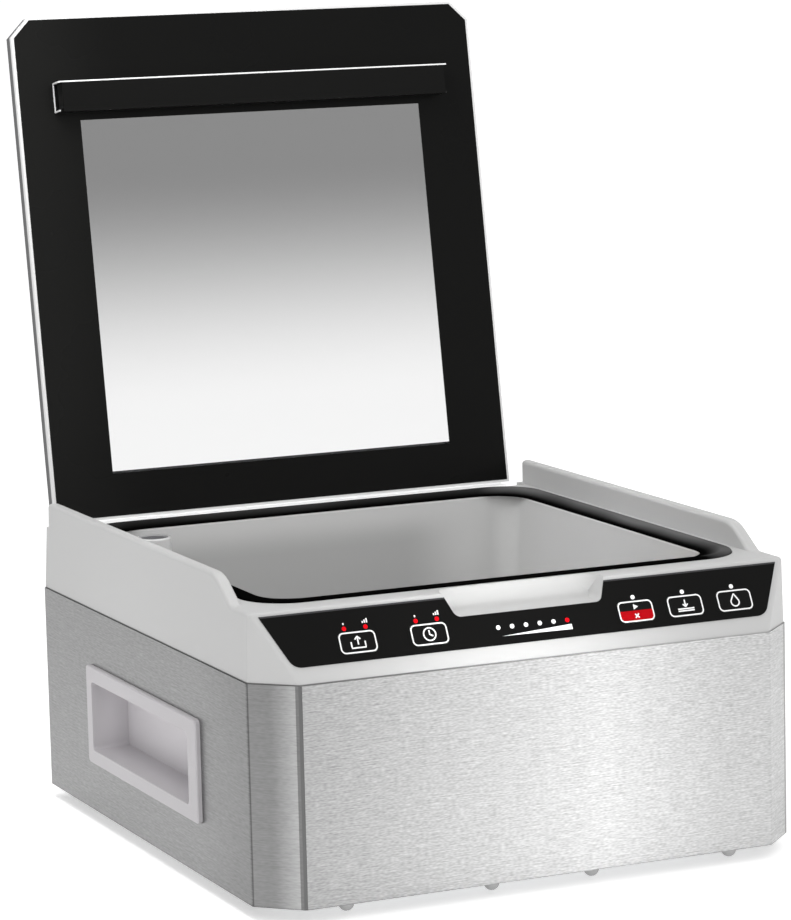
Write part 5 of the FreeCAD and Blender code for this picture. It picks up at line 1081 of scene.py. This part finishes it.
class SEALER_OT_stage(bpy.types.Operator):
    """Pale floor, soft lights and the camera at the photograph's angle."""

    bl_idname = "sealer.stage"
    bl_label = "Studio"

    def execute(self, context):
        stage = context.scene.sealer_stage
        self.add_floor(context, stage)
        self.add_surround(context, stage)
        self.add_lamps(context)
        self.add_camera(context, stage)
        return {"FINISHED"}

    def add_floor(self, context, stage):
        """Level floor: a grid over X and Y at height 0, a little self-lit so that it stays pale far off."""
        reach = np.linspace(-FLOOR_REACH, FLOOR_REACH, FLOOR_LINES)
        across, along = np.meshgrid(reach, reach)
        points = np.stack((across, along, np.zeros_like(across)), axis=-1).reshape(-1, 3)
        mesh = bpy.data.meshes.new("studio_floor")
        mesh.from_pydata(points.tolist(), [], grid_faces(FLOOR_LINES, FLOOR_LINES, False, False))
        finish = moulded("studio_floor", stage.floor, roughness=0.7, fine=40.0, drift=0.01, strength=0.0)
        finish.constant(Specular_IOR_Level=0.1, Emission_Color=(*WHITE, 1.0),
                        Emission_Strength=stage.floor_glow)
        mesh.materials.append(finish.material)
        floor = bpy.data.objects.new("studio_floor", mesh)
        context.scene.collection.objects.link(floor)

    def add_surround(self, context, stage):
        """Soft surround: its strength goes with the cosine between the view's way and the bright side."""
        world = bpy.data.worlds.new("studio_surround")
        world.use_nodes = True
        nodes = world.node_tree.nodes
        links = world.node_tree.links
        way = nodes.new("ShaderNodeTexCoord").outputs["Generated"]
        cosine = nodes.new("ShaderNodeVectorMath")
        cosine.operation = "DOT_PRODUCT"
        cosine.inputs[1].default_value = BRIGHT_SIDE
        strength = nodes.new("ShaderNodeMapRange")
        strength.inputs["From Min"].default_value = -1.0
        strength.inputs["To Min"].default_value = stage.dim
        strength.inputs["To Max"].default_value = stage.bright
        links.new(way, cosine.inputs[0])
        links.new(cosine.outputs["Value"], strength.inputs["Value"])
        links.new(strength.outputs["Result"], nodes["Background"].inputs["Strength"])
        nodes["Background"].inputs["Color"].default_value = (*WHITE, 1.0)
        context.scene.world = world
        context.scene.view_settings.view_transform = "Standard"

    def add_lamps(self, context):
        """Large soft lamps, kept out of the steel's reflections."""
        for name, place, target, size, power, spread in LAMPS:
            lamp = bpy.data.lights.new(name, "AREA")
            lamp.shape = "SQUARE"
            lamp.size = size
            lamp.energy = power
            lamp.spread = math.radians(spread)
            holder = bpy.data.objects.new(name, lamp)
            holder.location = place
            holder.visible_glossy = False
            holder.visible_camera = False
            aim = Vector(target) - Vector(place)
            holder.rotation_euler = aim.to_track_quat("-Z", "Y").to_euler()
            context.scene.collection.objects.link(holder)

    def add_camera(self, context, stage):
        """Camera by its yaw, pitch and roll."""
        forward = Vector((math.sin(stage.yaw) * math.cos(stage.pitch),
                          math.cos(stage.yaw) * math.cos(stage.pitch),
                          -math.sin(stage.pitch)))
        level = Vector((math.cos(stage.yaw), -math.sin(stage.yaw), 0.0))
        rise = level.cross(forward)
        right = level * math.cos(stage.roll) + rise * math.sin(stage.roll)
        up = rise * math.cos(stage.roll) - level * math.sin(stage.roll)
        turn = Matrix((right, up, -forward)).transposed().to_4x4()
        data = bpy.data.cameras.new("photo_camera")
        data.lens = stage.lens
        data.sensor_width = SENSOR_WIDTH
        data.sensor_fit = "AUTO"
        data.clip_end = VIEW_REACH
        camera = bpy.data.objects.new("photo_camera", data)
        camera.matrix_world = Matrix.Translation(Vector(stage.place)) @ turn
        context.scene.collection.objects.link(camera)
        context.scene.camera = camera


OPERATORS = (SEALER_OT_finishes, SEALER_OT_gasket, SEALER_OT_seam, SEALER_OT_key_marks,
             SEALER_OT_panel_marks, SEALER_OT_stage)


class SEALER_PT_panel(bpy.types.Panel):
    """Sidebar panel with the sealer's settings and steps."""

    bl_label = "Vacuum sealer"
    bl_idname = "SEALER_PT_panel"
    bl_space_type = "VIEW_3D"
    bl_region_type = "UI"
    bl_category = "Sealer"

    def draw(self, context):
        scene = context.scene
        for settings in (scene.sealer_finish, scene.sealer_sizes, scene.sealer_stage):
            column = self.layout.column(align=True)
            for label in settings.__annotations__:
                column.prop(settings, label)
        for operator in OPERATORS:
            self.layout.operator(operator.bl_idname)


CLASSES = (SealerFinish, SealerSizes, SealerStage, *OPERATORS, SEALER_PT_panel)


def register():
    """Register the classes and hang the settings on the scene."""
    for cls in CLASSES:
        bpy.utils.register_class(cls)
    bpy.types.Scene.sealer_finish = bpy.props.PointerProperty(type=SealerFinish)
    bpy.types.Scene.sealer_sizes = bpy.props.PointerProperty(type=SealerSizes)
    bpy.types.Scene.sealer_stage = bpy.props.PointerProperty(type=SealerStage)


def unregister():
    """Take the settings and classes away."""
    del bpy.types.Scene.sealer_stage
    del bpy.types.Scene.sealer_sizes
    del bpy.types.Scene.sealer_finish
    for cls in reversed(CLASSES):
        bpy.utils.unregister_class(cls)


def main():
    """Build the looks in order."""
    register()
    bpy.ops.sealer.finishes()
    bpy.ops.sealer.gasket()
    bpy.ops.sealer.seam()
    bpy.ops.sealer.key_marks()
    bpy.ops.sealer.panel_marks()
    bpy.ops.sealer.stage()


if __name__ == "__main__":
    main()
